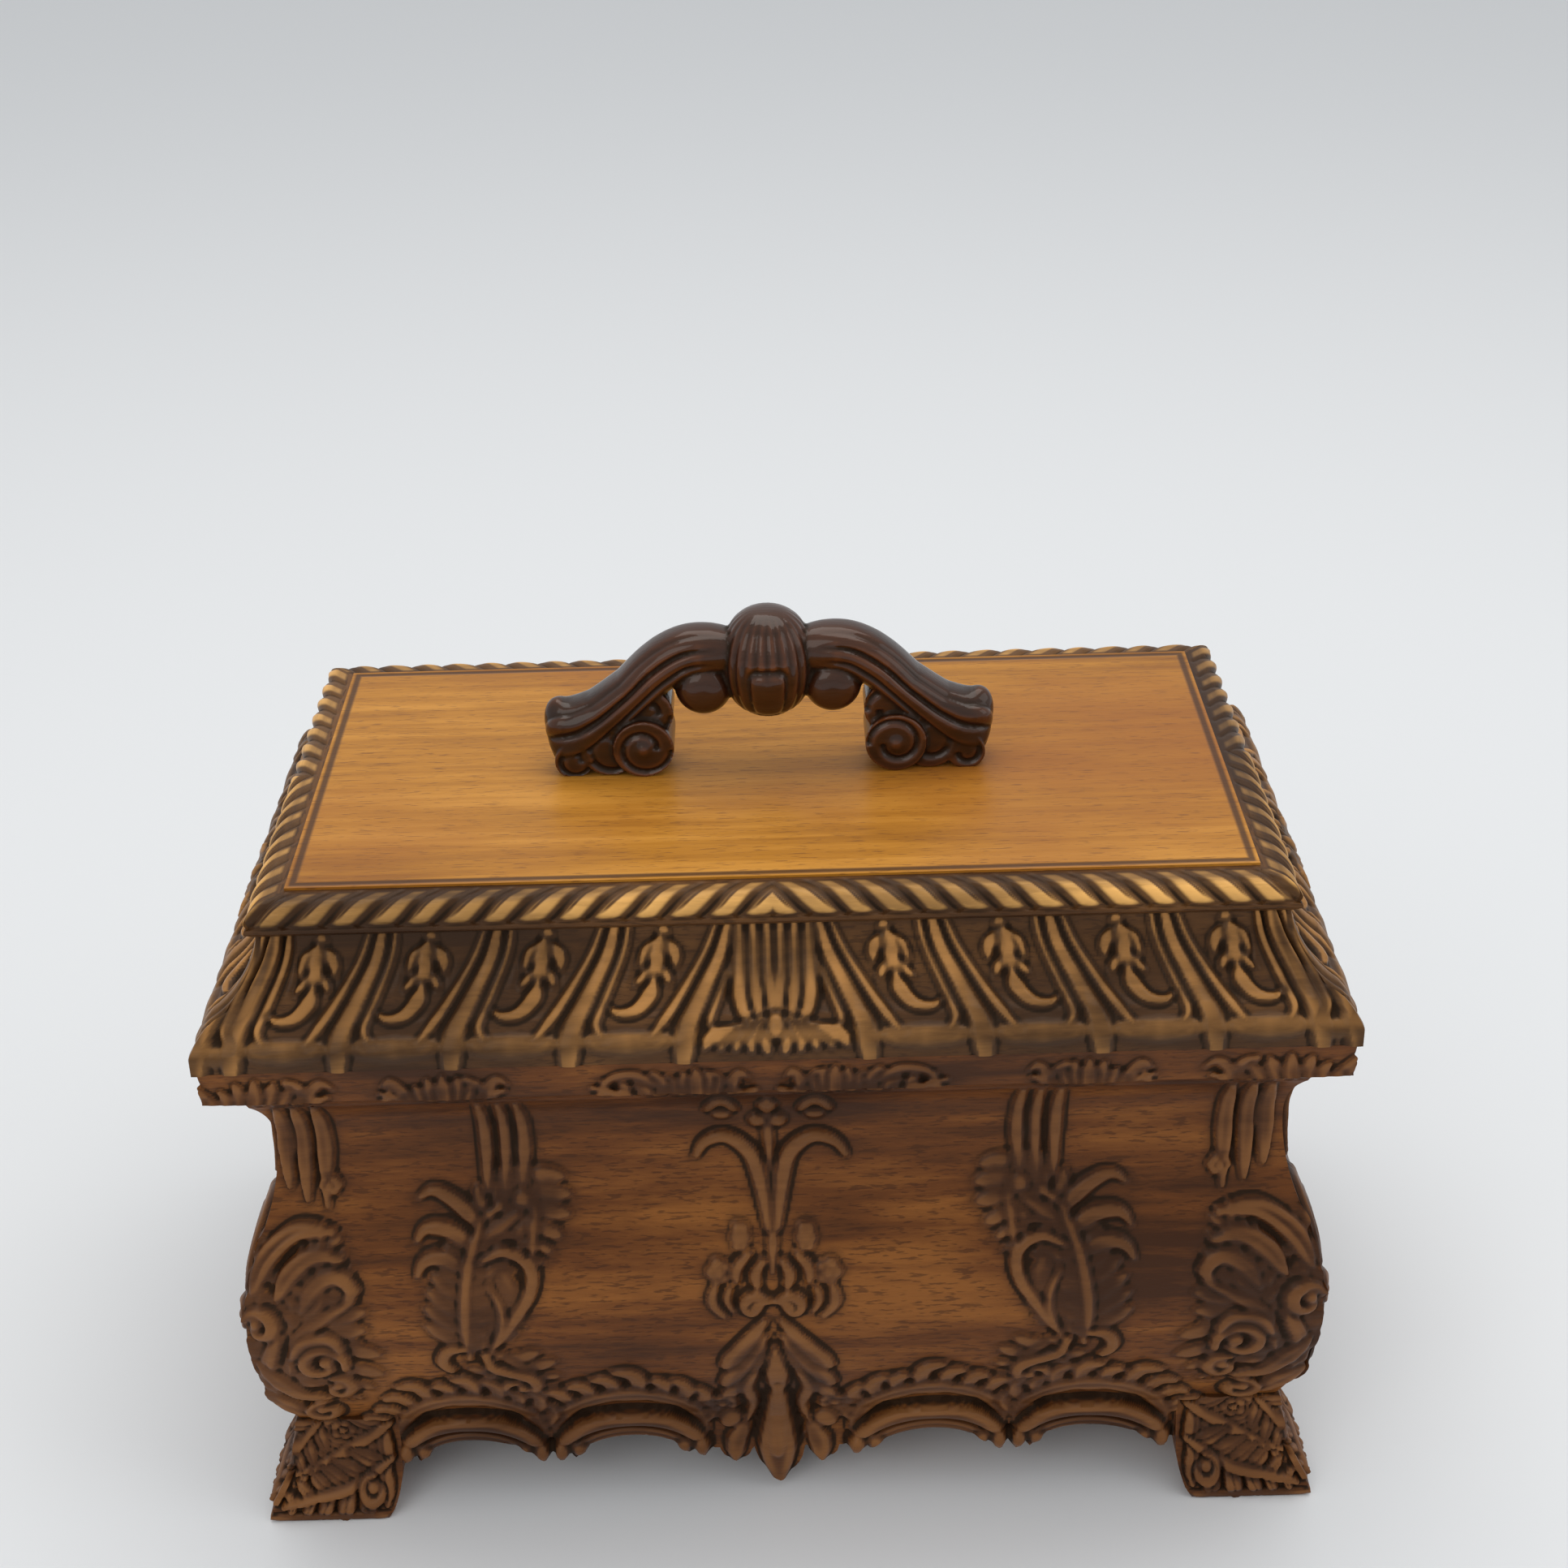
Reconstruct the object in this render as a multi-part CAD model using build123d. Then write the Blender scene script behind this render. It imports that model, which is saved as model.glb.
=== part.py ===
from build123d import *
import os
from math import atan2, cos, degrees, pi, radians, sin, tan

# A carved hardwood jewelry box on four flared feet, with a hinged, cove-sided lid.
# Origin on the floor under the middle of the box, +Z up, front facing -Y, millimetres.
# "Inset" is always measured inwards from the upright planes of the overall width and depth.

# Overall size
box_width = 300.0
box_depth = 175.0

# Heights of the stacked members
foot_height = 30.0
panel_height = 108.5
rim_height = 17.5
seam_gap = 0.3
cove_height = 31.2
top_board_thickness = 9.5

# Walls
wall_inset = 28.0

# Swelling body section: how far each line of the curve lies inside the overall size
flare_inset = 11.0
neck_inset = 15.7
neck_drop = 12.5
bulge_inset = 3.0
bulge_rise = 38.0
apron_inset = 11.5
apron_drop = 15.5

# Scalloped skirt
foot_reach = 39.5
pendant_half_width = 19.5
pendant_length = 11.5
pendant_tongue_width = 14.0
pendant_proud = 3.5
pendant_root = 3.0
pendant_margin = 1.2
pendant_lobe_radius = 4.5
pendant_lobe_offset = 12.5
arch_count_front = 2
arch_count_side = 1
arch_rise = 7.5
arch_end_width = 5.0
arch_spacing = 1.5
scroll_rise = 19.5
scroll_proud = 2.2

# Relief of the body: the main masses of the carving stand proud of its face
relief_proud = 2.2
relief_flat = 0.5
relief_root = neck_inset + pendant_root
acanthus_crown = 20.0
acanthus_drop = 4.5
reed_foot = 106.0
reed_width = 13.0
column_offset = 76.0
stem_width = 4.6
column_stem_foot = 61.0
column_stem_lean = 8.5
leaf_length = 31.0
leaf_width = 13.0
leaf_foot = 61.0
branch_foot = 88.0
branch_reach = 20.0
branch_rise = 9.0
branch_width = 7.0
hook_foot = 96.0
hook_crest = 124.0
hook_shoulder = 8.0
hook_reach = 20.0
hook_tip = 114.0
fan_head = 72.0
fan_foot = 45.0
fan_reach = 17.0
fan_width = 11.0
knot_height = 86.0
knot_width = 8.0
corner_reed_offset = 26.0
corner_leaf_foot = 76.0
corner_leaf_head = 99.0
corner_leaf_reach = 34.0
corner_leaf_toe = 6.0
corner_leaf_width = 17.0
corner_scroll_radius = 8.5
corner_scroll_offset = 20.0
corner_scroll_height = 58.0

# Feet
foot_toe_inset = 2.0
foot_toe_height = 4.0
foot_heel_width = 33.0

# Floor of the box
floor_thickness = 7.0
floor_above_feet = 3.0
floor_tongue = 5.0
floor_clearance = 0.3
lining_thickness = 1.2
lining_clearance = 0.5

# Rim moulding
rim_top_inset = 1.6
rim_band_inset = 2.6
rim_band_height = 10.0

# Lid cove
field_inset = 1.2
field_band = 4.7
pillow_inset = 6.0
pillow_rise = 10.9
cove_bend_inset = 15.1
cove_bend_rise = 19.3
cove_top_inset = 18.5
rib_proud = 1.2
rib_root_inset = 21.5
rib_foot_width = 6.0
rib_head_width = 2.4
rib_knee = 8.0
rib_lean = 10.5
rib_gaps_front = 3
rib_gaps_side = 1
fan_half_width = 24.0
corner_rib_inset = 2.6
corner_rib_spacing = 8.5
corner_field = 27.5

# Gadrooned edge moulding: flat, lobes, quirk and bead, from the top down
gadroon_inset = 15.3
gadroon_flat_inset = 25.0
gadroon_drop = 0.8
gadroon_roll = 6.4
gadroon_shoulder_inset = 1.9
gadroon_shoulder_drop = 1.9
gadroon_quirk_inset = 0.9
gadroon_quirk_height = 1.2
gadroon_bead_top = 3.0
gadroon_bead_edge = 1.4
gadroon_bead_chamfer = 1.8
gadroon_pitch = 10.0
gadroon_slant = 48.0
gadroon_cut_width = 4.4
gadroon_cut_depth = 2.0
gadroon_cut_lift = 0.6

# Top boards: the glue line lies in front of the middle
board_joint_offset = 16.0

# Handle: heights are above the top board, insets are from the tip of the leaf
handle_half_span = 61.5
handle_depth = 17.0
knob_width = 23.0
knob_height = 31.5
knob_lift = 31.0
knob_facets = 12
knob_end_share = 0.35
knob_shoulder_share = 0.82
arm_root_height = 37.0
arm_crest_height = 41.0
arm_crest_offset = 21.5
arm_bend_inset = 21.0
arm_bend_height = 27.0
arm_tail_inset = 6.0
arm_tail_height = 17.5
arm_tip_height = 12.0
arm_toe_inset = 4.5
arm_instep_offset = 45.0
arm_instep_height = 3.0
arm_heel_height = 13.0
arm_waist = 14.0
roll_radius = 8.0
roll_width = 14.0
roll_offset = 17.5
roll_lift = 23.0
heel_radius = 7.6
heel_offset = 33.6

# Butt hinges
hinge_inset = 65.0
hinge_length = 40.0
hinge_setback = 3.0
leaf_width = 15.0
leaf_thickness = 1.4
barrel_radius = 2.3
pin_radius = 1.1
barrel_parts = 3
pin_clearance = 0.05
press_clearance = 0.02
barrel_gap = 0.3
opening_angle = 100.0
stop_clearance_angle = 1.0

# Levels and spans that follow from the sizes above
panel_top = foot_height + panel_height
rim_top = panel_top + rim_height
lid_bottom = rim_top + seam_gap
cove_top = lid_bottom + cove_height
lid_top = cove_top + top_board_thickness
floor_bottom = foot_height + floor_above_feet
floor_top = floor_bottom + floor_thickness
apron_bottom = foot_height - apron_drop
hinge_height = rim_top + seam_gap / 2
hinge_y = box_depth / 2 - hinge_setback
hinge_offset = box_width / 2 - hinge_inset

# Each side is made facing the front and then turned to its place:
# its length, its distance from the middle, and its turn.
SIDES = {
    "front": (box_width, box_depth / 2, 0),
    "right": (box_depth, box_width / 2, 90),
    "back": (box_width, box_depth / 2, 180),
    "left": (box_depth, box_width / 2, 270),
}

os.makedirs("parts", exist_ok=True)


def save(shape, name):
    """Write one piece, or one group of like pieces, under its own name."""
    export_step(shape, f"parts/{name}.step")


def section_plane(reach):
    """Upright plane across a side: its x is the inset from the face, its y the height."""
    return Plane(origin=(0, -reach, 0), x_dir=(0, 1, 0), z_dir=(1, 0, 0))


def face_plane(reach, inset):
    """Upright plane in a side's face, looking at it, at a given inset."""
    return Plane(origin=(0, -reach + inset, 0), x_dir=(1, 0, 0), z_dir=(0, -1, 0))


def run_of(section, run, reach):
    """Run a section along the whole side, square at its ends."""
    return extrude(section_plane(reach) * section, amount=run / 2, both=True)


def mitred(solid, run, reach):
    """Cut both ends of a side's piece at 45 degrees, where it meets its neighbours."""
    corner = Polyline(
        (-run / 2, -reach),
        (run / 2, -reach),
        (run / 2 - wall_inset - floor_tongue, -reach + wall_inset + floor_tongue),
        (-run / 2 + wall_inset + floor_tongue, -reach + wall_inset + floor_tongue),
        close=True,
    )
    return solid & extrude(make_face(corner), amount=lid_top)


def place(solid, turn):
    """Turn a side's piece from the front to where it belongs."""
    return Rot(0, 0, turn) * solid


def body_arcs():
    """Outline of the wall: flared under the rim, waisted, full below, drawn in at the skirt."""
    flare = (flare_inset, panel_top)
    neck = (neck_inset, panel_top - neck_drop)
    bulge = (bulge_inset, foot_height + bulge_rise)
    skirt = (apron_inset, foot_height)
    turn = ((neck[0] + bulge[0]) / 2, (neck[1] + bulge[1]) / 2)
    return [
        TangentArc(neck, flare, tangent=(0, 1)),
        TangentArc(neck, turn, tangent=(0, -1)),
        TangentArc(bulge, turn, tangent=(0, 1)),
        TangentArc(bulge, skirt, tangent=(0, -1)),
    ]


def body_section():
    """The swelling wall, solid from its outline to its plain inner face."""
    tip = apron_bottom - pendant_length
    flare = (flare_inset, panel_top)
    front = [(apron_inset, foot_height), (apron_inset, tip)]
    back = Polyline(*front, (wall_inset, tip), (wall_inset, panel_top), flare)
    return make_face(body_arcs() + [back])


def proud_section():
    """The same wall standing proud by the height of the relief, in flats that are quick to cut."""
    tip = apron_bottom - pendant_length
    line = [(wall_inset, tip), (wall_inset, panel_top)]
    for arc in body_arcs():
        stops = sorted([arc @ 0, arc @ relief_flat, arc @ 1], key=lambda stop: -stop.Y)
        line += [(stop.X - relief_proud, stop.Y) for stop in stops[:-1]]
    line += [(apron_inset - relief_proud, foot_height), (apron_inset - relief_proud, tip)]
    return make_face(Polyline(*line, close=True))


def arch_centres(run, count):
    """Middles of the skirt's arches on one half, and half the width of one."""
    first = pendant_half_width
    last = run / 2 - foot_reach
    half = (last - first) / count / 2
    return [first + half * (2 * k + 1) for k in range(count)], half


def arch_shape(half_width, rise):
    """Round-headed arch standing on its straight foot."""
    ends = (-half_width, 0), (half_width, 0)
    return make_face([ThreePointArc(ends[0], (0, rise), ends[1]), Line(ends[1], ends[0])])


def tongue_shape(half_width, length):
    """Pointed tongue hanging from a straight top."""
    left = (-half_width, 0)
    right = (half_width, 0)
    tip = (0, -length)
    return make_face(
        [
            TangentArc(left, tip, tangent=(0, -1)),
            TangentArc(right, tip, tangent=(0, -1)),
            Line(left, right),
        ]
    )


def skirt_outline(run, count):
    """Front view of a body panel: skirt with arches between the feet, and a pendant."""
    outline = Pos(0, (foot_height + panel_top) / 2) * Rectangle(run, panel_height)
    apron = Rectangle(run - 2 * foot_reach, apron_drop)
    outline += Pos(0, (foot_height + apron_bottom) / 2) * apron
    centres, half = arch_centres(run, count)
    for side in (-1, 1):
        for centre in centres:
            outline -= Pos(side * centre, apron_bottom) * arch_shape(half - arch_end_width, arch_rise)
        outline += Pos(side * pendant_lobe_offset, apron_bottom) * Circle(pendant_lobe_radius)
    outline += Pos(0, apron_bottom) * tongue_shape(pendant_tongue_width / 2, pendant_length)
    return outline


def scroll_bands(run, reach, count):
    """Raised C-scroll mouldings that follow the arches."""
    centres, half = arch_centres(run, count)
    bands = []
    for side in (-1, 1):
        for centre in centres:
            band = arch_shape(half - arch_spacing / 2, scroll_rise)
            band -= arch_shape(half - arch_end_width, arch_rise)
            drawn = face_plane(reach, apron_inset - scroll_proud) * Pos(side * centre, apron_bottom) * band
            bands.append(extrude(drawn, amount=-(wall_inset - apron_inset) / 2))
    return bands


def bar(start, end, width):
    """Straight member of the carving between two points, tapering to half its width."""
    ahead = Vector(end[0] - start[0], end[1] - start[1], 0).normalized()
    side = Vector(-ahead.Y, ahead.X, 0) * (width / 2)
    foot = Vector(*start)
    head = Vector(*end)
    return make_face(Polyline(foot - side, foot + side, head + side / 2, head - side / 2, close=True))


def leaf(foot, head, width):
    """Pointed leaf, widest in its middle, between its stalk and its tip."""
    middle = Vector((foot[0] + head[0]) / 2, (foot[1] + head[1]) / 2, 0)
    side = Vector(middle.Y - foot[1], foot[0] - middle.X, 0).normalized() * (width / 2)
    return make_face(Polyline(Vector(*foot), middle - side, Vector(*head), middle + side, close=True))


def reeds(middle):
    """Bundle of reeds hanging from under the rim."""
    return Pos(middle, (reed_foot + panel_top) / 2) * Rectangle(reed_width, panel_top - reed_foot)


def column_view():
    """Reeds, a stem with a branch and a leaf, part of the way along a long side."""
    head = (column_offset, reed_foot + stem_width)
    foot = (column_offset + column_stem_lean, column_stem_foot)
    leaf_head = (column_offset - leaf_width / 2, leaf_foot + leaf_length)
    branch_tip = (column_offset + branch_reach, branch_foot + branch_rise)
    view = reeds(column_offset) + bar(foot, head, stem_width)
    view += leaf((column_offset, leaf_foot), leaf_head, leaf_width)
    view += bar((column_offset + stem_width, branch_foot), branch_tip, branch_width)
    return view


def middle_view():
    """One half of the stem, C-hook, knot and fan in the middle."""
    half = stem_width / 2
    shoulder = (hook_shoulder, hook_crest)
    view = Pos(0, (fan_head + hook_crest) / 2) * Rectangle(stem_width, hook_crest - fan_head)
    view += bar((half, hook_foot), shoulder, stem_width)
    view += bar(shoulder, (hook_reach, hook_tip), stem_width)
    view += leaf((0, fan_head), (hook_reach, knot_height), knot_width)
    view += leaf((0, fan_head + half), (fan_reach, fan_foot), fan_width)
    return view


def corner_view(run):
    """Reeds, a large leaf and a scroll beside a corner."""
    edge = run / 2
    toe = (edge - corner_leaf_toe, corner_leaf_foot)
    head = (edge - corner_leaf_reach, corner_leaf_head)
    scroll = Pos(edge - corner_scroll_offset, corner_scroll_height) * RegularPolygon(corner_scroll_radius, 6)
    return reeds(edge - corner_reed_offset) + leaf(toe, head, corner_leaf_width) + scroll


def acanthus_view(centre, half_width):
    """Leaves rising over an arch of the skirt, from one foot of the arch to the other."""
    shoulder = half_width / 2
    crown = foot_height + acanthus_crown
    return make_face(
        Polyline(
            (centre - half_width, foot_height),
            (centre - shoulder, crown - acanthus_drop),
            (centre, crown),
            (centre + shoulder, crown - acanthus_drop),
            (centre + half_width, foot_height),
            close=True,
        )
    )


def relief(run, reach, count):
    """Main masses of the carving, cut from a body that stands proud of the real one."""
    proud = mitred(run_of(proud_section(), run, reach), run, reach)
    view = corner_view(run)
    if count > 1:
        view += column_view()
        view += middle_view()
    centres, half = arch_centres(run, count)
    for centre in centres:
        view += acanthus_view(centre, half - arch_spacing)
    view += mirror(view, about=Plane.YZ)
    return extrude(face_plane(reach, 0) * view, amount=-relief_root) & proud


def pendant_tongue(reach):
    """Raised tongue down the middle of the pendant, ridged like the midrib of a leaf."""
    half_width = pendant_tongue_width / 2 - pendant_margin
    front = apron_inset - pendant_proud
    root = apron_inset + pendant_root
    lower = tongue_shape(half_width, pendant_length - pendant_margin)
    view = lower + mirror(lower, about=Plane.XZ)
    tongue = extrude(face_plane(reach, front) * Pos(0, apron_bottom) * view, amount=front - root)
    ridge = Polyline(
        (0, -reach + front),
        (half_width, -reach + apron_inset),
        (half_width, -reach + root),
        (-half_width, -reach + root),
        (-half_width, -reach + apron_inset),
        close=True,
    )
    return tongue & extrude(make_face(ridge), amount=foot_height + bulge_rise)


def body_panel(run, reach, count):
    """One carved board of the body, with the groove for the floor."""
    panel = mitred(run_of(body_section(), run, reach), run, reach)
    view = face_plane(reach, 0) * skirt_outline(run, count)
    panel &= extrude(view, amount=-wall_inset)
    for band in scroll_bands(run, reach, count):
        panel += band
    panel += pendant_tongue(reach)
    panel += relief(run, reach, count)
    groove_height = floor_thickness + floor_clearance
    groove_depth = floor_tongue + floor_clearance
    groove = Box(run, groove_depth, groove_height, align=(Align.CENTER, Align.MAX, Align.MIN))
    return panel - Pos(0, -reach + wall_inset, floor_bottom) * groove


def foot():
    """Flared bracket foot: the same outline seen from the front and from the side."""
    toe = (foot_toe_inset, foot_toe_height)
    heel = (foot_toe_inset + foot_heel_width, 0)
    knee = (foot_reach, apron_bottom)
    outline = make_face(
        [
            Line((foot_toe_inset, 0), toe),
            TangentArc((apron_inset, foot_height), toe, tangent=(0, -1)),
            Polyline((apron_inset, foot_height), (foot_reach, foot_height), knee),
            TangentArc(knee, heel, tangent=(0, -1)),
            Line(heel, (foot_toe_inset, 0)),
        ]
    )
    across = Plane(origin=(-box_width / 2, 0, 0), x_dir=(1, 0, 0), z_dir=(0, -1, 0)) * outline
    along = section_plane(box_depth / 2) * outline
    seen_from_front = extrude(across, amount=box_depth / 2)
    seen_from_side = extrude(along, amount=-box_width / 2)
    return seen_from_front & seen_from_side


def floor_board():
    """Floor of the box, held in the grooves of the four body panels."""
    board = Box(
        box_width - 2 * wall_inset + 2 * floor_tongue,
        box_depth - 2 * wall_inset + 2 * floor_tongue,
        floor_thickness,
        align=(Align.CENTER, Align.CENTER, Align.MIN),
    )
    return Pos(0, 0, floor_bottom) * board


def floor_lining():
    """Thin cloth lining laid on the floor."""
    sheet = Box(
        box_width - 2 * wall_inset - 2 * lining_clearance,
        box_depth - 2 * wall_inset - 2 * lining_clearance,
        lining_thickness,
        align=(Align.CENTER, Align.CENTER, Align.MIN),
    )
    return Pos(0, 0, floor_top) * sheet


def rim_section():
    """Cornice under the seam: a plain band over a hollow that meets the flare of the body."""
    band_foot = (rim_band_inset, rim_top - rim_band_height)
    flare = (flare_inset, panel_top)
    outline = [
        Line((rim_top_inset, rim_top), band_foot),
        TangentArc(flare, band_foot, tangent=(-0.35, 1)),
        Polyline(flare, (wall_inset, panel_top), (wall_inset, rim_top), (rim_top_inset, rim_top)),
    ]
    return make_face(outline)


def back_notch(height_sign):
    """Wedge taken off the meeting back edges, so that they stop the lid when it is open."""
    half_angle = (opening_angle + 2 * stop_clearance_angle) / 2
    drop = hinge_setback * tan(radians(half_angle)) * height_sign
    level = seam_gap / 2 * height_sign
    wedge = Polyline(
        (hinge_y, hinge_height + level),
        (hinge_y + 2 * hinge_setback, hinge_height + level + 2 * drop),
        (hinge_y + 2 * hinge_setback, hinge_height),
        (hinge_y, hinge_height),
        close=True,
    )
    plane = Plane(origin=(0, 0, 0), x_dir=(0, 1, 0), z_dir=(1, 0, 0))
    return extrude(plane * make_face(wedge), amount=box_width, both=True)


def along_x(radius, length):
    """Round bar along the hinge line, in the middle of it."""
    return Pos(0, hinge_y, hinge_height) * Rot(0, 90, 0) * Cylinder(radius, length)


def hinge_places():
    return [Pos(-hinge_offset, 0, 0), Pos(hinge_offset, 0, 0)]


def leaf_plate(height_sign):
    """Flat of a hinge leaf, let in flush with the wood; it reaches back to the pin."""
    align = Align.MIN if height_sign > 0 else Align.MAX
    plate = Box(hinge_length, leaf_width, leaf_thickness, align=(Align.CENTER, Align.MAX, align))
    return Pos(0, hinge_y, hinge_height + seam_gap / 2 * height_sign) * plate


def hinge_recess(height_sign):
    """Room for one hinge in the wood on one side of the seam: leaf mortise and barrel trench."""
    room = barrel_radius + barrel_gap
    trench = Box(hinge_length + 2 * barrel_gap, 2 * room, 2 * room)
    return leaf_plate(height_sign) + Pos(0, hinge_y, hinge_height) * trench


def knuckle_spans(height_sign):
    """The barrel is shared in turn: the outer parts belong to the lower leaf."""
    part = hinge_length / barrel_parts
    start = 0 if height_sign < 0 else 1
    return [-hinge_length / 2 + part * (k + 0.5) for k in range(start, barrel_parts, 2)], part


def hinge_leaf(height_sign):
    """One cast brass leaf with its knuckles, bored for the pin."""
    room = 2 * (barrel_radius + barrel_gap)
    leaf = leaf_plate(height_sign) - Pos(0, hinge_y, hinge_height) * Box(hinge_length, room, room)
    spans, part = knuckle_spans(height_sign)
    for middle in spans:
        shift = Pos(middle, 0, 0)
        leaf += shift * along_x(barrel_radius, part - barrel_gap)
        web = Box(
            part - barrel_gap,
            barrel_radius + barrel_gap + leaf_thickness,
            leaf_thickness,
            align=(Align.CENTER, Align.MAX, Align.MIN if height_sign > 0 else Align.MAX),
        )
        leaf += shift * Pos(0, hinge_y, hinge_height + seam_gap / 2 * height_sign) * web
    bore = pin_radius + (pin_clearance if height_sign > 0 else press_clearance)
    return leaf - along_x(bore, hinge_length + barrel_gap)


def without_hinges(solid, height_sign):
    """Let both hinges into a piece of wood."""
    for place_at in hinge_places():
        solid -= place_at * hinge_recess(height_sign)
    return solid


def rim_strip(run, reach):
    return mitred(run_of(rim_section(), run, reach), run, reach)


def cove_field():
    """Section of the lid's side between the ribs: a band, a pillow and a hollow cove."""
    foot = (field_inset, lid_bottom)
    band_head = (field_inset, lid_bottom + field_band)
    crest = (pillow_inset, lid_bottom + pillow_rise)
    top = (cove_top_inset, cove_top)
    outline = [
        Line(foot, band_head),
        TangentArc(band_head, crest, tangent=(0.5, 1)),
        TangentArc(top, crest, tangent=(0, -1)),
        Polyline(top, (wall_inset, cove_top), (wall_inset, lid_bottom), foot),
    ]
    return make_face(outline)


def rib_section():
    """Section through a rib, which stands proud of the field in straight stretches."""
    line = [
        (field_inset, lid_bottom),
        (field_inset, lid_bottom + field_band),
        (pillow_inset, lid_bottom + pillow_rise),
        (cove_bend_inset, lid_bottom + cove_bend_rise),
        (cove_top_inset, cove_top),
    ]
    front = [(inset - rib_proud, height) for inset, height in line]
    return make_face(Polyline(*front, (rib_root_inset, cove_top), (rib_root_inset, lid_bottom), close=True))


def rib_positions(run, gaps):
    """Feet of the ribs on one half: an even row from the fan, then a pair at the corner."""
    outer = run / 2 - corner_rib_inset
    pair = outer - corner_rib_spacing
    last = pair - corner_field
    step = (last - fan_half_width) / gaps
    return [fan_half_width + k * step for k in range(gaps + 1)] + [pair, outer]


def rib_view(foot_x):
    """Front view of one rib: a square foot, then a stem that leans in and thins upwards."""
    head_x = foot_x - rib_lean
    half_foot = rib_foot_width / 2
    half_head = rib_head_width / 2
    knee = lid_bottom + rib_knee
    outline = Polyline(
        (foot_x - half_foot, knee),
        (foot_x - half_foot, lid_bottom),
        (foot_x + half_foot, lid_bottom),
        (foot_x + half_foot, knee),
        (head_x + half_head, cove_top),
        (head_x - half_head, cove_top),
        close=True,
    )
    return make_face(outline)


def cove_strip(run, reach, gaps):
    """One side of the lid: a hollow cove with leaning ribs and a pillow between them."""
    strip = run_of(cove_field(), run, reach)
    proud = run_of(rib_section(), run, reach)
    for x in rib_positions(run, gaps):
        rib = extrude(face_plane(reach, 0) * rib_view(x), amount=-rib_root_inset) & proud
        strip += [rib, mirror(rib, about=Plane.YZ)]
    return mitred(strip, run, reach)


def gadroon_section():
    """Edge moulding: a flat beside the top board, a round for the lobes, a quirk and a bead."""
    flat = lid_top - gadroon_drop
    bead = cove_top + gadroon_bead_top
    roll_top = (gadroon_inset + gadroon_roll, flat)
    outline = Polyline(
        roll_top,
        (gadroon_inset + gadroon_shoulder_inset, flat - gadroon_shoulder_drop),
        (gadroon_inset + gadroon_quirk_inset, bead + gadroon_quirk_height),
        (gadroon_inset + gadroon_quirk_inset, bead),
        (gadroon_inset, bead),
        (gadroon_inset, bead - gadroon_bead_edge),
        (gadroon_inset + gadroon_bead_chamfer, cove_top),
        (gadroon_flat_inset, cove_top),
        (gadroon_flat_inset, flat),
        close=True,
    )
    return make_face(outline)


def gadroon_cuts(run, reach):
    """Slanting V cuts between the lobes; they lean outwards going down, away from the middle."""
    lobe_foot = cove_top + gadroon_bead_top + gadroon_quirk_height
    rise = lid_top - gadroon_drop - lobe_foot
    depth = gadroon_roll - gadroon_quirk_inset
    slope = atan2(rise, depth)
    out = Vector(0, -sin(slope), cos(slope))
    down = Vector(0, -cos(slope), -sin(slope))
    slant = radians(gadroon_slant)
    along = Vector(sin(slant), 0, 0) + down * cos(slant)
    middle = Vector(0, -reach + gadroon_inset + gadroon_quirk_inset + depth / 2, lobe_foot + rise / 2)
    middle += out * gadroon_cut_lift * 2
    half = gadroon_cut_width / 2
    wedge = Polyline((-half, gadroon_cut_lift), (half, gadroon_cut_lift), (0, -gadroon_cut_depth), close=True)
    reach_down = (depth**2 + rise**2) ** 0.5 / 2 / cos(slant)
    cuts = []
    for k in range(int((run / 2 - gadroon_inset) / gadroon_pitch)):
        origin = middle + Vector((k + 0.5) * gadroon_pitch, 0, 0) - along * gadroon_pitch
        plane = Plane(origin=origin, x_dir=out.cross(along), z_dir=along)
        cut = extrude(plane * make_face(wedge), amount=gadroon_pitch + reach_down)
        cuts += [cut, mirror(cut, about=Plane.YZ)]
    return cuts


def gadroon_strip(run, reach):
    strip = run_of(gadroon_section(), run, reach)
    strip -= gadroon_cuts(run, reach)
    return mitred(strip, run, reach)


def top_board(front_edge, back_edge):
    """One of the two glued boards of the lid's flat top, between two lines across the depth."""
    board = Box(
        box_width - 2 * gadroon_flat_inset,
        back_edge - front_edge,
        top_board_thickness,
        align=(Align.CENTER, Align.MIN, Align.MIN),
    )
    return Pos(0, front_edge, cove_top) * board


def handle_arm():
    """Front view of one arm, right of the knob: crest, leaf tail and scrolled heel."""
    seat = lid_top
    start = (0, seat + arm_root_height)
    crest = (arm_crest_offset, seat + arm_crest_height)
    bend = (handle_half_span - arm_bend_inset, seat + arm_bend_height)
    tail = (handle_half_span - arm_tail_inset, seat + arm_tail_height)
    tip = (handle_half_span, seat + arm_tip_height)
    toe = (handle_half_span - arm_toe_inset, seat)
    instep = (arm_instep_offset, seat + arm_instep_height)
    heel_top = (heel_offset - heel_radius, seat + arm_heel_height)
    outline = [
        TangentArc(crest, start, tangent=(-1, 0)),
        TangentArc(crest, bend, tangent=(1, 0)),
        TangentArc(tail, bend, tangent=(-1, 0.15)),
        TangentArc(tip, tail, tangent=(-0.1, 1)),
        TangentArc(tip, toe, tangent=(0, -1)),
        Polyline(toe, (arm_instep_offset + arm_instep_height / 2, seat), instep),
        TangentArc(instep, heel_top, tangent=(-1, 0.9)),
        Polyline(heel_top, (roll_offset, seat + roll_lift), (0, seat + roll_lift), start),
    ]
    return make_face(outline)


def handle_plan():
    """Plan of one arm: it widens from the knob towards the leaf at its foot."""
    waist = arm_waist / 2
    half = handle_depth / 2
    end = handle_half_span
    return make_face(Polyline((0, -waist), (end, -half), (end, half), (0, waist), close=True))


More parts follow.
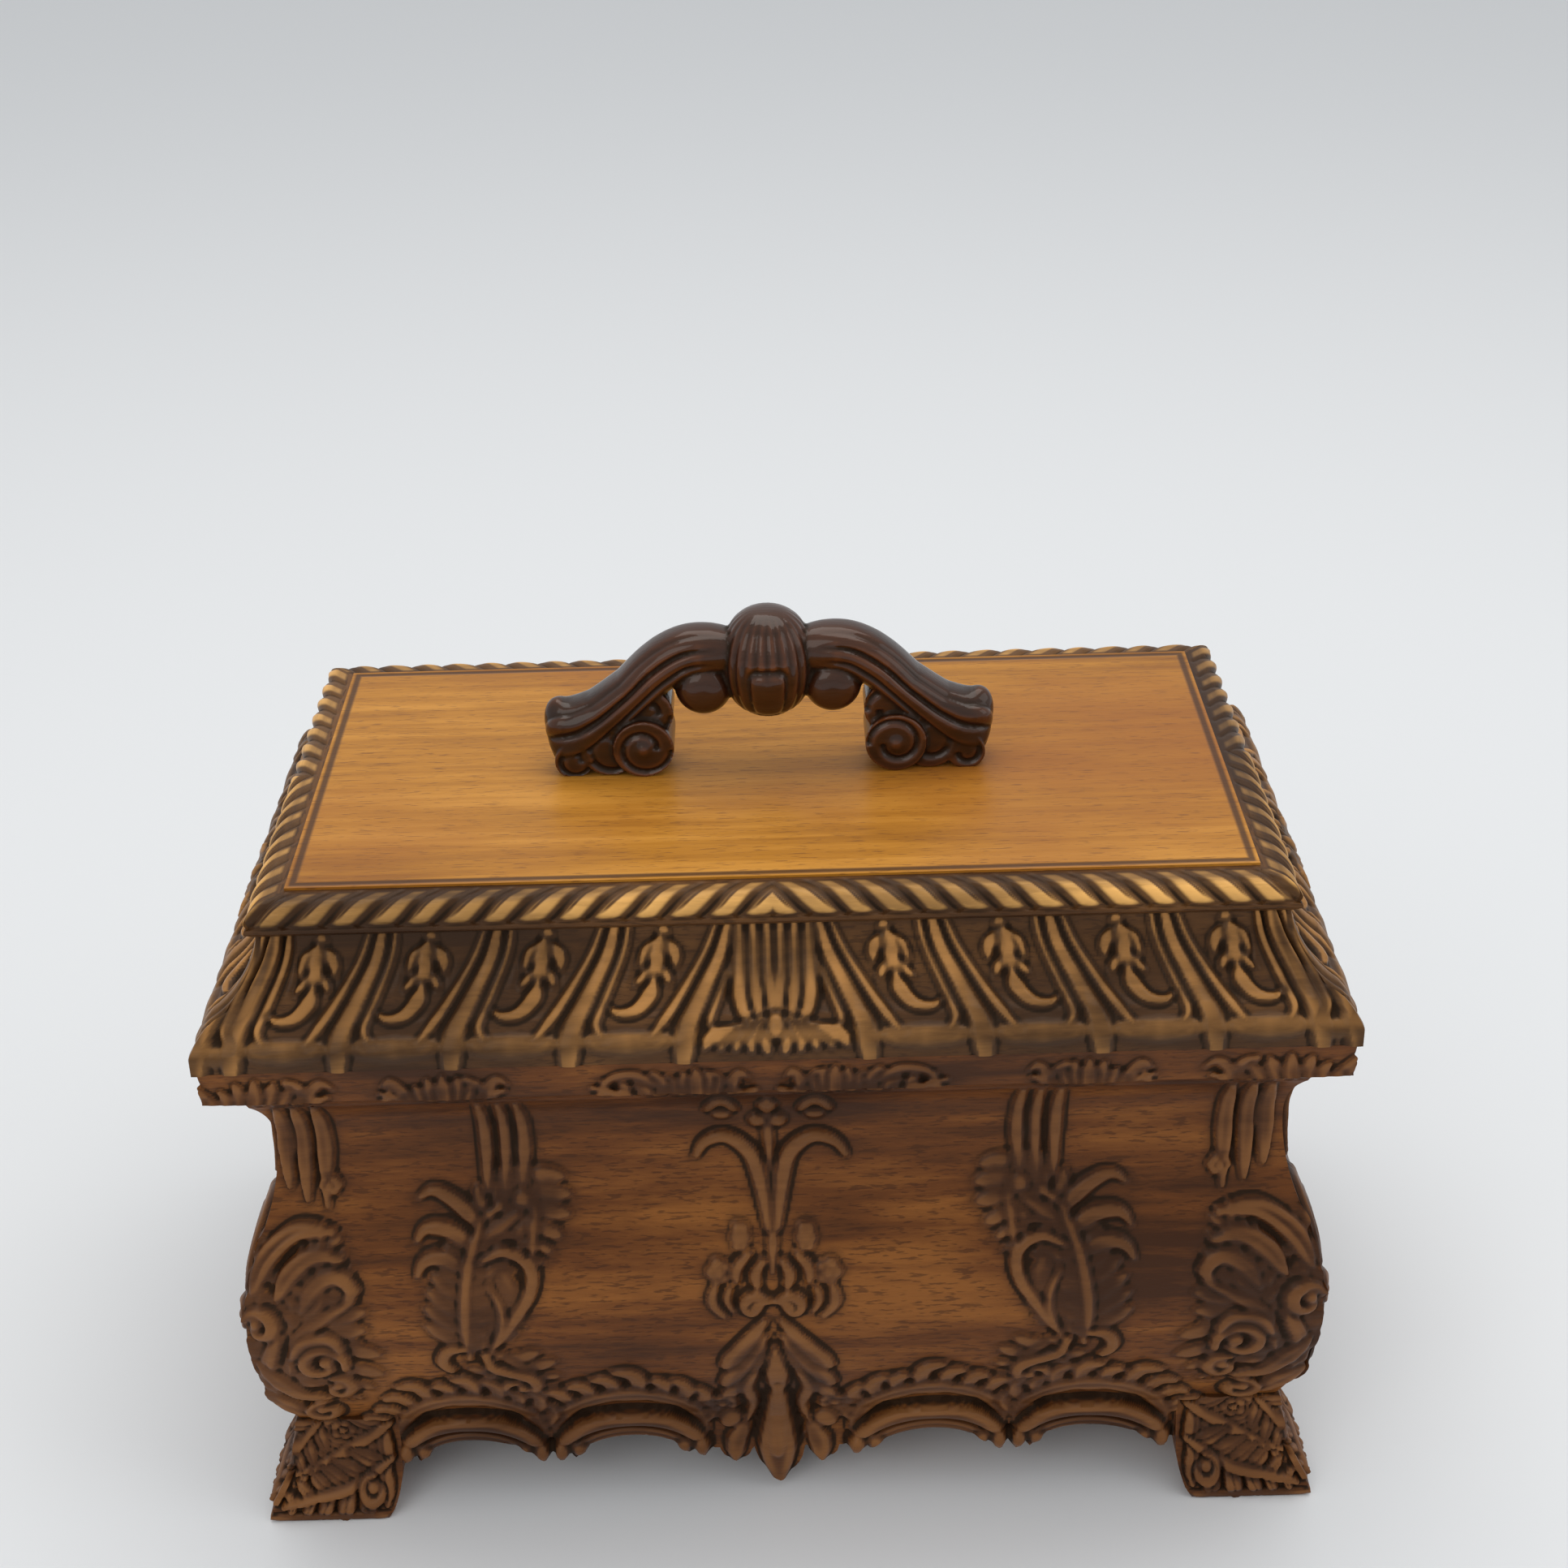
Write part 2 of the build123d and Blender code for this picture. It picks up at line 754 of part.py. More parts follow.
def frustum(radius, end_radius, height):
    """Faceted length of the knob, from its full end to its narrow end."""
    taper = atan2((radius - end_radius) * cos(pi / knob_facets), height)
    return extrude(RegularPolygon(radius, knob_facets), amount=height, taper=degrees(taper))


def knob():
    """Carved knob, cut in flat facets: narrow at both ends and full in the middle."""
    radius = knob_width / 2
    shoulder = radius * knob_shoulder_share
    body_height = knob_height / 2 * knob_shoulder_share
    cap_height = knob_height / 2 - body_height
    cap = frustum(shoulder, radius * knob_end_share, cap_height)
    half = frustum(radius, shoulder, body_height) + Pos(0, 0, body_height) * cap
    return half + mirror(half, about=Plane.XY)


def handle():
    """Carved bail handle: a ribbed knob between two acanthus arms that end in scrolled feet."""
    front = Plane(origin=(0, 0, 0), x_dir=(1, 0, 0), z_dir=(0, -1, 0))
    arm = extrude(front * handle_arm(), amount=handle_depth / 2, both=True)
    lying = Rot(90, 0, 0)
    heel = Pos(heel_offset, 0, lid_top + heel_radius) * lying * Cylinder(heel_radius, handle_depth)
    seat = Box(heel_radius, handle_depth, heel_radius, align=(Align.CENTER, Align.CENTER, Align.MIN))
    roll = Pos(roll_offset, 0, lid_top + roll_lift) * lying * Cylinder(roll_radius, roll_width)
    side = arm + heel + Pos(heel_offset, 0, lid_top) * seat + roll
    side &= extrude(handle_plan(), amount=lid_top + 2 * arm_crest_height)
    whole = side + mirror(side, about=Plane.YZ)
    return whole + Pos(0, 0, lid_top + knob_lift) * knob()


def build_body():
    for name, (run, reach, turn) in SIDES.items():
        count = arch_count_front if name in ("front", "back") else arch_count_side
        save(place(body_panel(run, reach, count), turn), f"{name}_panel")
        rim = place(rim_strip(run, reach), turn)
        if name != "front":
            rim -= back_notch(-1)
        if name == "back":
            rim = without_hinges(rim, -1)
        save(rim, f"rim_{name}")
    corner = foot()
    save(corner, "foot_front_left")
    save(mirror(corner, about=Plane.YZ), "foot_front_right")
    rear = mirror(corner, about=Plane.XZ)
    save(rear, "foot_back_left")
    save(mirror(rear, about=Plane.YZ), "foot_back_right")
    save(floor_board(), "floor_board")
    save(floor_lining(), "floor_lining")


def build_hinges():
    for name, place_at in zip(("left", "right"), hinge_places()):
        save(place_at * hinge_leaf(-1), f"hinge_{name}_body_leaf")
        save(place_at * hinge_leaf(1), f"hinge_{name}_lid_leaf")
        save(place_at * along_x(pin_radius, hinge_length), f"hinge_{name}_pin")


def build_lid():
    for name, (run, reach, turn) in SIDES.items():
        gaps = rib_gaps_front if name in ("front", "back") else rib_gaps_side
        cove = place(cove_strip(run, reach, gaps), turn)
        if name != "front":
            cove -= back_notch(1)
        if name == "back":
            cove = without_hinges(cove, 1)
        save(cove, f"lid_cove_{name}")
        save(place(gadroon_strip(run, reach), turn), f"gadroon_{name}")
    half = box_depth / 2 - gadroon_flat_inset
    save(top_board(-half, -board_joint_offset), "top_board_front")
    save(top_board(-board_joint_offset, half), "top_board_back")
    save(handle(), "handle")


build_body()
build_hinges()
build_lid()
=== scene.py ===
from math import atan2, cos, pi, radians, sin

import bpy
import numpy as np
from mathutils import Matrix, Vector


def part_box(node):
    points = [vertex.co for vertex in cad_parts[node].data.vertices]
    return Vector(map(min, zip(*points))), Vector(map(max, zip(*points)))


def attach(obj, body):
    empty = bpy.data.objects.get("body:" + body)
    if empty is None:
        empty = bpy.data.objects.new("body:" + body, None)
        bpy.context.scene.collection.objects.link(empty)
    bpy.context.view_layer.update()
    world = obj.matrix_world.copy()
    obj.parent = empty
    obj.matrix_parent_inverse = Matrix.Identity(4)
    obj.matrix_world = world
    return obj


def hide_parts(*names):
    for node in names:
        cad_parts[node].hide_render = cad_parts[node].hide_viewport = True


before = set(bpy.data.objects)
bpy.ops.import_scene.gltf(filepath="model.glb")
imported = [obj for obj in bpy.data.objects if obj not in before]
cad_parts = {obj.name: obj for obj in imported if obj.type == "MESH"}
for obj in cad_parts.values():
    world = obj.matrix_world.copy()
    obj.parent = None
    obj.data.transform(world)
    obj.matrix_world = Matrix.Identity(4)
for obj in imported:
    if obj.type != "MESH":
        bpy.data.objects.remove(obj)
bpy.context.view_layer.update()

# The room: a wide pale floor under a pale sky, lit by three large soft lamps.
# The camera stands in front of the box, above its lid, and looks down at it.
camera_place = (0.00445, -0.59750, 0.51689)
camera_turn = (61.2586, 1.3599, -0.6649)
camera_lens = 55.9
scene = bpy.context.scene
bpy.ops.object.camera_add(location=camera_place, rotation=[radians(a) for a in camera_turn])
camera = bpy.context.object
camera.name = "camera"
camera.data.lens = camera_lens
camera.data.sensor_width = 36.0
camera.data.clip_start = 0.02
scene.camera = camera

floor_size = 9.0
bpy.ops.mesh.primitive_plane_add(size=floor_size, location=(0, 0, 0))
floor = bpy.context.object
floor.name = "floor"


def soft_lamp(name, place, aim, size, power, colour):
    """A large square lamp that looks from its place at a point near the box."""
    bpy.ops.object.light_add(type="AREA", location=place)
    lamp = bpy.context.object
    lamp.name = name
    lamp.data.shape = "RECTANGLE"
    lamp.data.size, lamp.data.size_y = size
    lamp.data.energy = power
    lamp.data.color = colour
    way = lamp.location - Vector(aim)
    lamp.rotation_euler = way.to_track_quat("Z", "Y").to_euler()
    return lamp


soft_lamp("lamp_over", (0.1, 0.25, 1.5), (0, 0, 0.1), (1.6, 1.0), 10, (1.0, 0.985, 0.96))
soft_lamp("lamp_front", (-0.9, -1.5, 1.2), (0, 0, 0.1), (1.2, 1.2), 6, (1.0, 0.99, 0.97))
soft_lamp("lamp_right", (1.5, -0.5, 0.9), (0, 0, 0.1), (1.0, 1.0), 3, (0.97, 0.985, 1.0))

sky = bpy.data.worlds.new("sky")
scene.world = sky
sky.use_nodes = True
sky.node_tree.nodes["Background"].inputs["Color"].default_value = (0.86, 0.88, 0.9, 1)
sky.node_tree.nodes["Background"].inputs["Strength"].default_value = 0.72
scene.view_settings.view_transform = "Standard"


class Amount:
    """A number that changes over a surface, written with ordinary arithmetic."""

    def __init__(self, finish, socket):
        self.finish = finish
        self.socket = socket

    def maths(self, operation, *others):
        return self.finish.node("ShaderNodeMath", {"operation": operation}, [self, *others])

    def __add__(self, other):
        return self.maths("ADD", other)

    def __sub__(self, other):
        return self.maths("SUBTRACT", other)

    def __rsub__(self, other):
        return self.finish.node("ShaderNodeMath", {"operation": "SUBTRACT"}, [other, self])

    def __mul__(self, other):
        return self.maths("MULTIPLY", other)

    __radd__ = __add__
    __rmul__ = __mul__

    def between(self, low, high):
        """0 below low, 1 above high, and a smooth step from one to the other."""
        ends = {"Value": self, "From Min": low, "From Max": high}
        return self.finish.node("ShaderNodeMapRange", {"interpolation_type": "SMOOTHSTEP"}, ends)


class Finish:
    """One finish, built node by node around a single surface shader."""

    def __init__(self, name):
        self.material = bpy.data.materials.new(name)
        self.material.use_nodes = True
        self.tree = self.material.node_tree
        self.surface = self.tree.nodes["Principled BSDF"]

    def node(self, kind, settings=(), inputs=(), output=0, stops=()):
        """Adds a node: its settings first, then its inputs, and gives one of its outputs."""
        made = self.tree.nodes.new(kind)
        for name, value in dict(settings).items():
            setattr(made, name, value)
        if stops:
            ramp = made.color_ramp
            while len(ramp.elements) < len(stops):
                ramp.elements.new(1.0)
            for element, (place, colour) in zip(ramp.elements, stops):
                element.position = place
                element.color = (*colour, 1)
        pairs = inputs.items() if isinstance(inputs, dict) else enumerate(inputs)
        for name, value in pairs:
            self.feed(made.inputs[name], value)
        return Amount(self, made.outputs[output])

    def feed(self, socket, value):
        if isinstance(value, Amount):
            self.tree.links.new(value.socket, socket)
        elif hasattr(value, "__len__") and socket.type == "RGBA":
            socket.default_value = (*value, 1)
        else:
            socket.default_value = value

    def spot(self):
        """Where a point lies on the object, in metres."""
        return self.node("ShaderNodeTexCoord", output="Object")

    def noise(self, where, scale, detail, roughness=0.55, distortion=0.0):
        """Clouds, or streaks along the way whose scale is small; scale is features in a metre."""
        spread = self.node("ShaderNodeMapping", inputs={"Vector": where, "Scale": scale})
        inputs = {"Vector": spread, "Scale": 1.0, "Detail": detail, "Roughness": roughness}
        return self.node("ShaderNodeTexNoise", inputs={**inputs, "Distortion": distortion})

    def over(self, share, below, above):
        """One colour laid over another by a share from 0 to 1."""
        return self.node("ShaderNodeMix", {"data_type": "RGBA"}, {0: share, 6: below, 7: above}, output=2)

    def mark(self, name):
        """A value that the maker of the piece wrote on its mesh."""
        return self.node("ShaderNodeAttribute", {"attribute_name": name}, output="Fac")

    def bump(self, height, strength, distance):
        inputs = {"Height": height, "Strength": strength, "Distance": distance}
        self.set(normal=self.node("ShaderNodeBump", inputs=inputs))

    def set(self, **values):
        for name, value in values.items():
            self.feed(self.surface.inputs[name.replace("_", " ").title().replace("Ior", "IOR")], value)


floor_finish = Finish("pale_floor")
floor_finish.set(base_color=(0.80, 0.81, 0.82), roughness=0.5)
floor.data.materials.append(floor_finish.material)


# The four body boards: carved hardwood planks with a swelling face, mitred at the corners.
# Their ground is left smooth round the carving; its hollows, and the ground close round it, are darkened with
# painted shade. Sizes are in mm.
MM = 0.001
box_width = 300.0
box_depth = 175.0
foot_height = 30.0
panel_top = 138.5
wall_inset = 28.0
flare_inset, neck_inset, bulge_inset, apron_inset = 11.0, 15.7, 3.0, 11.5
neck_drop, bulge_rise = 12.5, 38.0
apron_bottom = 14.5
foot_reach = 39.5


def round_line(start, end, heading, count=24):
    """Points along the arc that leaves start in the given direction and reaches end."""
    start, end = np.array(start, float), np.array(end, float)
    heading = np.array(heading, float) / np.hypot(*heading)
    chord = end - start
    side = np.array((-heading[1], heading[0]))
    lean = chord @ side
    if abs(lean) < 1e-6:
        return start + np.linspace(0, 1, count)[:, None] * chord
    radius = (chord @ chord) / (2 * lean)
    centre = start + side * radius
    turn = 2 * atan2(lean, chord @ heading)
    spread = start - centre
    angles = np.linspace(0, turn, count)
    return centre + np.stack(
        [spread[0] * np.cos(angles) - spread[1] * np.sin(angles),
         spread[0] * np.sin(angles) + spread[1] * np.cos(angles)], 1)


def smooth_way(points, step=0.5):
    """A smooth curve through a few points, sampled evenly, with its directions."""
    points = np.array(points, float)
    ends = np.vstack([2 * points[0] - points[1], points, 2 * points[-1] - points[-2]])
    pieces = []
    for a, b, c, d in zip(ends, ends[1:], ends[2:], ends[3:]):
        t = np.linspace(0, 1, 12, endpoint=False)[:, None]
        bent = (2 * a - 5 * b + 4 * c - d) * t**2 + (3 * b - a - 3 * c + d) * t**3
        pieces.append(0.5 * (2 * b + (c - a) * t + bent))
    dense = np.vstack([*pieces, points[-1:]])
    along = np.append(0, np.cumsum(np.hypot(*np.diff(dense, axis=0).T)))
    even = np.linspace(0, along[-1], max(4, int(along[-1] / step) + 1))
    way = np.stack([np.interp(even, along, dense[:, k]) for k in (0, 1)], 1)
    heading = np.gradient(way, axis=0)
    heading /= np.hypot(*heading.T)[:, None] + 1e-9
    return way, heading, even / along[-1]


class Relief:
    """Carving on one board: heights in mm over places (x, z) of its face."""

    blend, cut_away, cut_half = 0.7, 0.35, 0.5
    # The carved mask reaches a few mm past each member, and there it paints shade on the ground.
    worked_round, around = 3.0, 5.5

    def __init__(self, x, z):
        self.x = x
        self.z = z
        self.height = np.zeros_like(x)
        self.carved = np.zeros_like(x)

    def near(self, points, reach):
        low, high = points.min(0) - reach, points.max(0) + reach
        inside = (self.x > low[0]) & (self.x < high[0]) & (self.z > low[1]) & (self.z < high[1])
        return np.nonzero(inside)

    def lay(self, spot, outside, raised, groove):
        """Lays a member over what is there, with a gouge cut round it.

        outside is how far each place is beyond the member's outline, less than 0 on it.
        """
        share = np.clip(0.5 - outside / self.blend, 0, 1)
        sunk = self.height[spot] - groove * np.exp(-(((outside - self.cut_away) / self.cut_half) ** 2))
        self.height[spot] = share * raised + (1 - share) * sunk
        # Painted shade: the carved mask fades out a few mm beyond the member, darkening the ground beside it.
        worked = np.maximum(share, 0.75 * np.exp(-((np.maximum(outside, 0) / self.worked_round) ** 2)))
        self.carved[spot] = np.maximum(self.carved[spot], worked)

    def stroke(self, points, width, top, edge=0.45, rib=0.0, lines=0, lobes=0, groove=0.55, hollow=0.0):
        """One raised member along a curve: half widths and a height that may change along it.

        edge is the height left at its sides, rib a sunk middle line, lines the gouge lines
        that run with it, lobes the waves of its outline, hollow how far its middle is dished.
        """
        way, heading, share = smooth_way(points)
        widths = np.interp(share, np.linspace(0, 1, len(np.atleast_1d(width))), np.atleast_1d(width))
        tops = np.interp(share, np.linspace(0, 1, len(np.atleast_1d(top))), np.atleast_1d(top))
        spot = self.near(way, widths.max() * 1.3 + self.around)
        if not len(spot[0]):
            return
        here = np.stack([self.x[spot], self.z[spot]], 1)
        nearest = ((here[:, None] - way[None]) ** 2).sum(2).argmin(1)
        off = here - way[nearest]
        side = off[:, 1] * heading[nearest, 0] - off[:, 0] * heading[nearest, 1]
        near_end = np.clip(np.minimum(share, 1 - share)[nearest] / 0.16, 0, 1)
        half = widths[nearest] * (0.55 + 0.45 * near_end**0.7)
        if lobes:
            phase = share[nearest] - 0.1 * np.abs(side) / half
            half = half * (0.86 + 0.2 * np.abs(np.sin(pi * lobes * phase)))
        distance = np.hypot(off[:, 0], off[:, 1])
        inwards = np.clip(1 - (distance / np.maximum(half, 0.05)) ** 2, 0, 1)
        across = np.clip(side / np.maximum(half, 0.05), -1, 1)
        body = edge + (1 - edge) * np.sqrt(inwards) + 0.14 * across
        body -= hollow * inwards
        body -= rib * np.exp(-((across / 0.16) ** 2))
        if lines:
            body -= 0.16 * (0.5 + 0.5 * np.cos(pi * lines * across))
        self.lay(spot, distance - half, tops[nearest] * body, groove)

    def boss(self, centre, size, top, petals=0):
        """A small knob, or a rosette when it has petals."""
        size = np.array(size, float) * np.ones(2)
        centre = np.array(centre, float)
        spot = self.near(centre[None], size.max() * 1.2 + self.around)
        dx, dz = self.x[spot] - centre[0], self.z[spot] - centre[1]
        q = np.hypot(dx / size[0], dz / size[1])
        body = 0.4 + 0.6 * np.sqrt(np.clip(1 - q**2, 0, 1))
        if petals:
            petal = np.abs(np.cos(np.arctan2(dz, dx) * petals / 2))
            q = q / (0.84 + 0.16 * petal)
            eye, ring = np.exp(-((q / 0.3) ** 2)), np.exp(-(((q - 0.42) / 0.1) ** 2))
            body = 0.55 + 0.25 * petal + 0.3 * eye - 0.35 * ring
        self.lay(spot, (q - 1) * size.min(), top * body, 0.5)

    def volute(self, centre, radius, start, turns, width, top, hand=1, lead=()):
        """A scroll: a stem, if any, that winds inwards to a round eye."""
        share = np.linspace(0, 1, int(10 * turns) + 6)
        angles = radians(start) + hand * share * turns * 2 * pi
        reach = radius * (1 - 0.72 * share)
        curl = [(centre[0] + r * cos(a), centre[1] + r * sin(a)) for r, a in zip(reach, angles)]
        self.stroke([*lead, *curl], [width * 0.8, width, width * 0.75], top, edge=0.4, rib=0.12)
        self.boss(curl[-1], width * 1.05, np.max(top) * 1.08)

    def acanthus(self, points, width, top, count=4, spread=50):
        """A leaf: curved lobes that leave the middle vein on both sides."""
        way, heading, _ = smooth_way(points)
        length = np.hypot(*np.diff(way, axis=0).T).sum()
        for k in range(count):
            t = 0.08 + 0.8 * k / max(count - 1, 1)
            i = int(t * (len(way) - 1))
            size = width * (0.75 + 0.5 * sin(pi * min(1, t + 0.15))) * (1.15 - 0.55 * t)
            lobe = max(0.9, min(size * 0.36, length / count * 0.62))
            for hand in (1, -1):
                lean = radians(spread - 18 * t) * hand
                dx, dz = heading[i]
                out = np.array((dx * cos(lean) - dz * sin(lean), dx * sin(lean) + dz * cos(lean)))
                bend = np.array((-dz, dx)) * hand
                middle = way[i] + out * size * 0.6 - bend * size * 0.1
                tip = way[i] + out * size * 1.25 + bend * size * 0.09
                widths, tops = [lobe * 0.6, lobe, lobe * 0.8], [top * 0.9, top, top * 0.72]
                self.stroke([way[i], middle, tip], widths, tops, edge=0.5, rib=0.22, groove=0.4)
        vein = [width * 0.2, width * 0.26, width * 0.12]
        self.stroke(points, vein, top * 1.15, edge=0.55, groove=0.35)


def soften(field, reach, passes=3):
    """A field averaged over a few places each way."""
    for axis in (0, 1):
        for _ in range(passes):
            padded = np.pad(field, [(reach, reach) if a == axis else (0, 0) for a in (0, 1)], mode="edge")
            total = np.cumsum(padded, axis=axis)
            total = np.insert(total, 0, 0, axis=axis)
            lead = np.take(total, np.arange(2 * reach + 1, total.shape[axis]), axis=axis)
            tail = np.take(total, np.arange(0, total.shape[axis] - 2 * reach - 1), axis=axis)
            field = (lead - tail) / (2 * reach + 1)
    return field


def grid_piece(name, across, up):
    """A plane of squares, with one vertex for each entry of the arrays that will place it."""
    bpy.ops.object.select_all(action="DESELECT")
    bpy.ops.mesh.primitive_grid_add(x_subdivisions=across - 1, y_subdivisions=up - 1, size=1)
    piece = bpy.context.object
    piece.name = name
    piece.data.name = name
    return piece


def set_places(piece, places):
    piece.data.vertices.foreach_set("co", np.ascontiguousarray(places, np.float32).ravel())
    piece.data.update()


def get_places(piece):
    places = np.empty(len(piece.data.vertices) * 3, np.float32)
    piece.data.vertices.foreach_get("co", places)
    return places.reshape(-1, 3).astype(float)


def write_mark(piece, name, values):
    layer = piece.data.attributes.new(name, "FLOAT", "POINT")
    layer.data.foreach_set("value", np.ascontiguousarray(values, np.float32).ravel())


def mark_shade_light_and_wear(piece, height, carved, pitch, painted_highlight=0.0):
    """Where painted shade darkens the hollows, and where rubbed wear and painted highlight lighten the
    crests, read from the carved heights.
    """
    near_level = soften(height, 1)
    wide_level = soften(height, max(1, round(2.0 / pitch)))
    # Painted shade: places below their neighbours are marked dark, narrow cuts strongly and broad recesses
    # lightly.
    hollow = np.clip((near_level - height - 0.05) / 0.28, 0, 1) * 0.9
    hollow += np.clip((wide_level - height - 0.4) / 1.2, 0, 1) * 0.35
    # Rubbed wear and painted highlight: crests above their neighbours, and any bands a moulding gives, are
    # marked light.
    crest_rub_and_highlight = np.maximum(np.clip((height - wide_level) / 0.6, 0, 1), painted_highlight)
    write_mark(piece, "hollow_shade", np.clip(hollow, 0, 1))
    write_mark(piece, "crest_rub_and_highlight", crest_rub_and_highlight)
    write_mark(piece, "carved", carved)


def close_behind(piece, face_reach, back_inset, run):
    """Gives a carved face its thickness: a narrow arris, then walls straight back to a flat rear."""
    limit = (run / 2 - back_inset) * MM
    bpy.ops.object.mode_set(mode="EDIT")
    bpy.ops.mesh.select_mode(type="EDGE")
    bpy.ops.mesh.select_all(action="DESELECT")
    bpy.ops.mesh.select_non_manifold()
    for share in (0.02, 1.0):
        bpy.ops.mesh.extrude_region_move()
        bpy.ops.object.mode_set(mode="OBJECT")
        picked = np.empty(len(piece.data.vertices), bool)
        piece.data.vertices.foreach_get("select", picked)
        places = get_places(piece)
        behind = places[picked]
        behind[:, 0] = np.clip(behind[:, 0], -limit, limit)
        behind[:, 1] = (-face_reach + back_inset) * MM
        places[picked] += share * (behind - places[picked])
        set_places(piece, places)
        for name in ("hollow_shade", "crest_rub_and_highlight", "carved"):
            layer = piece.data.attributes[name].data
            values = np.empty(len(picked), np.float32)
            layer.foreach_get("value", values)
            values[picked] = 0
            layer.foreach_set("value", values)
        bpy.ops.object.mode_set(mode="EDIT")
    bpy.ops.mesh.remove_doubles(threshold=1e-6, use_unselected=False)
    bpy.ops.mesh.edge_face_add()
    bpy.ops.mesh.select_all(action="SELECT")
    bpy.ops.mesh.normals_make_consistent(inside=False)
    bpy.ops.object.mode_set(mode="OBJECT")


def pick(pieces):
    """Selects these pieces and no others, and makes the first the active one."""
    bpy.ops.object.select_all(action="DESELECT")
    for piece in pieces:
        piece.select_set(True)
    bpy.context.view_layer.objects.active = pieces[0]


def stand(piece, turn, node, body, material):
    """Turns a finished side to its place, smooths it and lets it stand for its CAD node."""
    piece.data.transform(Matrix.Rotation(radians(turn), 4, "Z"))
    pick([piece])
    bpy.ops.object.shade_smooth_by_angle(angle=radians(62))
    piece.data.materials.append(material)
    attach(piece, body)
    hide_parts(node)


def body_profile():
    """Inset of the body's face for every height, from the rim down to the skirt."""
    flare = (flare_inset, panel_top)
    neck = (neck_inset, panel_top - neck_drop)
    bulge = (bulge_inset, foot_height + bulge_rise)
    skirt = (apron_inset, foot_height)
    turn = ((neck[0] + bulge[0]) / 2, (neck[1] + bulge[1]) / 2)
    line = np.vstack([
        round_line(neck, flare, (0, 1))[::-1],
        round_line(neck, turn, (0, -1)),
        round_line(bulge, turn, (0, 1))[::-1],
        round_line(bulge, skirt, (0, -1)),
        [(apron_inset, 0)],
    ])
    order = np.argsort(line[:, 1])
    return line[order, 1], line[order, 0]


profile_heights, profile_insets = body_profile()


def body_inset(z):
    return np.interp(z, profile_heights, profile_insets)


arch_rise = 7.5
first_arch = 19.5
lobe_place, lobe_radius = 12.5, 4.5
tongue_half, tongue_drop = 7.0, 11.5
ornament_shift = 2.5
column_place = 76.0
corner_calm = 30.0


def arch_middles(run, count):
    """Places of the arches on one half of a side, and half the room that each has."""
    half = (run / 2 - foot_reach - first_arch) / count / 2
    return [first_arch + half * (2 * k + 1) for k in range(count)], half


def skirt_line(x, run, count):
    """Lowest height of the skirt at each place along it: arches, lobes and a pendant tongue."""
    low = np.full_like(x, apron_bottom)
    middles, half = arch_middles(run, count)
    opening = half - 5.0
    radius = (opening**2 + arch_rise**2) / (2 * arch_rise)
    for middle in middles:
        off = np.abs(np.abs(x) - middle)
        head = np.sqrt(np.maximum(radius**2 - off**2, 0)) - (radius - arch_rise)
        low = np.where(off < opening, np.maximum(low, apron_bottom + head), low)
    off = np.abs(np.abs(x) - lobe_place)
    drop = np.sqrt(np.maximum(lobe_radius**2 - off**2, 0))
    low = np.where(off < lobe_radius, apron_bottom - drop, low)
    inwards = tongue_half - np.abs(x)
    radius = (tongue_half**2 + tongue_drop**2) / (2 * tongue_half)
    drop = np.sqrt(np.maximum(2 * radius * inwards - inwards**2, 0))
    return np.where(inwards > 0, apron_bottom - drop, low)


def arch_line(middle, reach, rise, lift, ends, count):
    """Points of a flattened arch over one opening of the skirt, between two angles in half turns."""
    angles = np.linspace(pi * ends[0], pi * ends[1], count)
    return [(middle + reach * cos(a), apron_bottom + lift + rise * sin(a)) for a in angles]


def carve_skirt(relief, run, count):
    """Acanthus over the arches, the C-scrolls of the arches themselves, and knobs at their ends."""
    stroke = relief.stroke
    middles, half = arch_middles(run, count)
    wide = half - 2.4
    for middle in middles:
        for k in range(10):
            angle = radians(171 - 18 * k)
            root = (middle + wide * cos(angle), apron_bottom + 8 + 17 * sin(angle))
            lean = angle + 0.5 * cos(angle) - 0.25
            reach = 11.0 + 2.2 * sin(2.3 * k + middle)
            bend = (root[0] + reach * 0.62 * cos(lean), root[1] + reach * 0.62 * sin(lean) + 1.0)
            tip = (bend[0] + reach * 0.5 * cos(lean - 1.1), bend[1] + reach * 0.5 * sin(lean - 1.1))
            stroke([root, bend, tip], [2.2, 2.7, 1.5], [2.0, 2.3, 1.7], rib=0.3, groove=0.5)
        bank = arch_line(middle, wide + 1.0, 20.5, 5, (0.97, 0.03), 13)
        stroke(bank, [2.4, 3.6, 2.4], [1.8, 2.4, 1.8], edge=0.5, rib=0.25, lobes=6, groove=0.5)
        outer = arch_line(middle, wide, 13.8, 0.5, (1.02, -0.02), 13)
        stroke(outer, [2.6, 3.1, 2.6], [4.2, 5.0, 4.2], groove=0.9)
        inner = arch_line(middle, wide - 4.0, 9.2, 0, (1, 0), 11)
        stroke(inner, [1.8, 2.2, 1.8], 3.2, edge=0.5, rib=0.15, groove=0.7)
        for side in (-1, 1):
            relief.boss((middle + side * (wide - 5.2), apron_bottom + 3.6), 2.8, 4.0)
            relief.boss((middle + side * (wide - 0.4), apron_bottom + 2.8), (2.6, 3.2), 4.6)


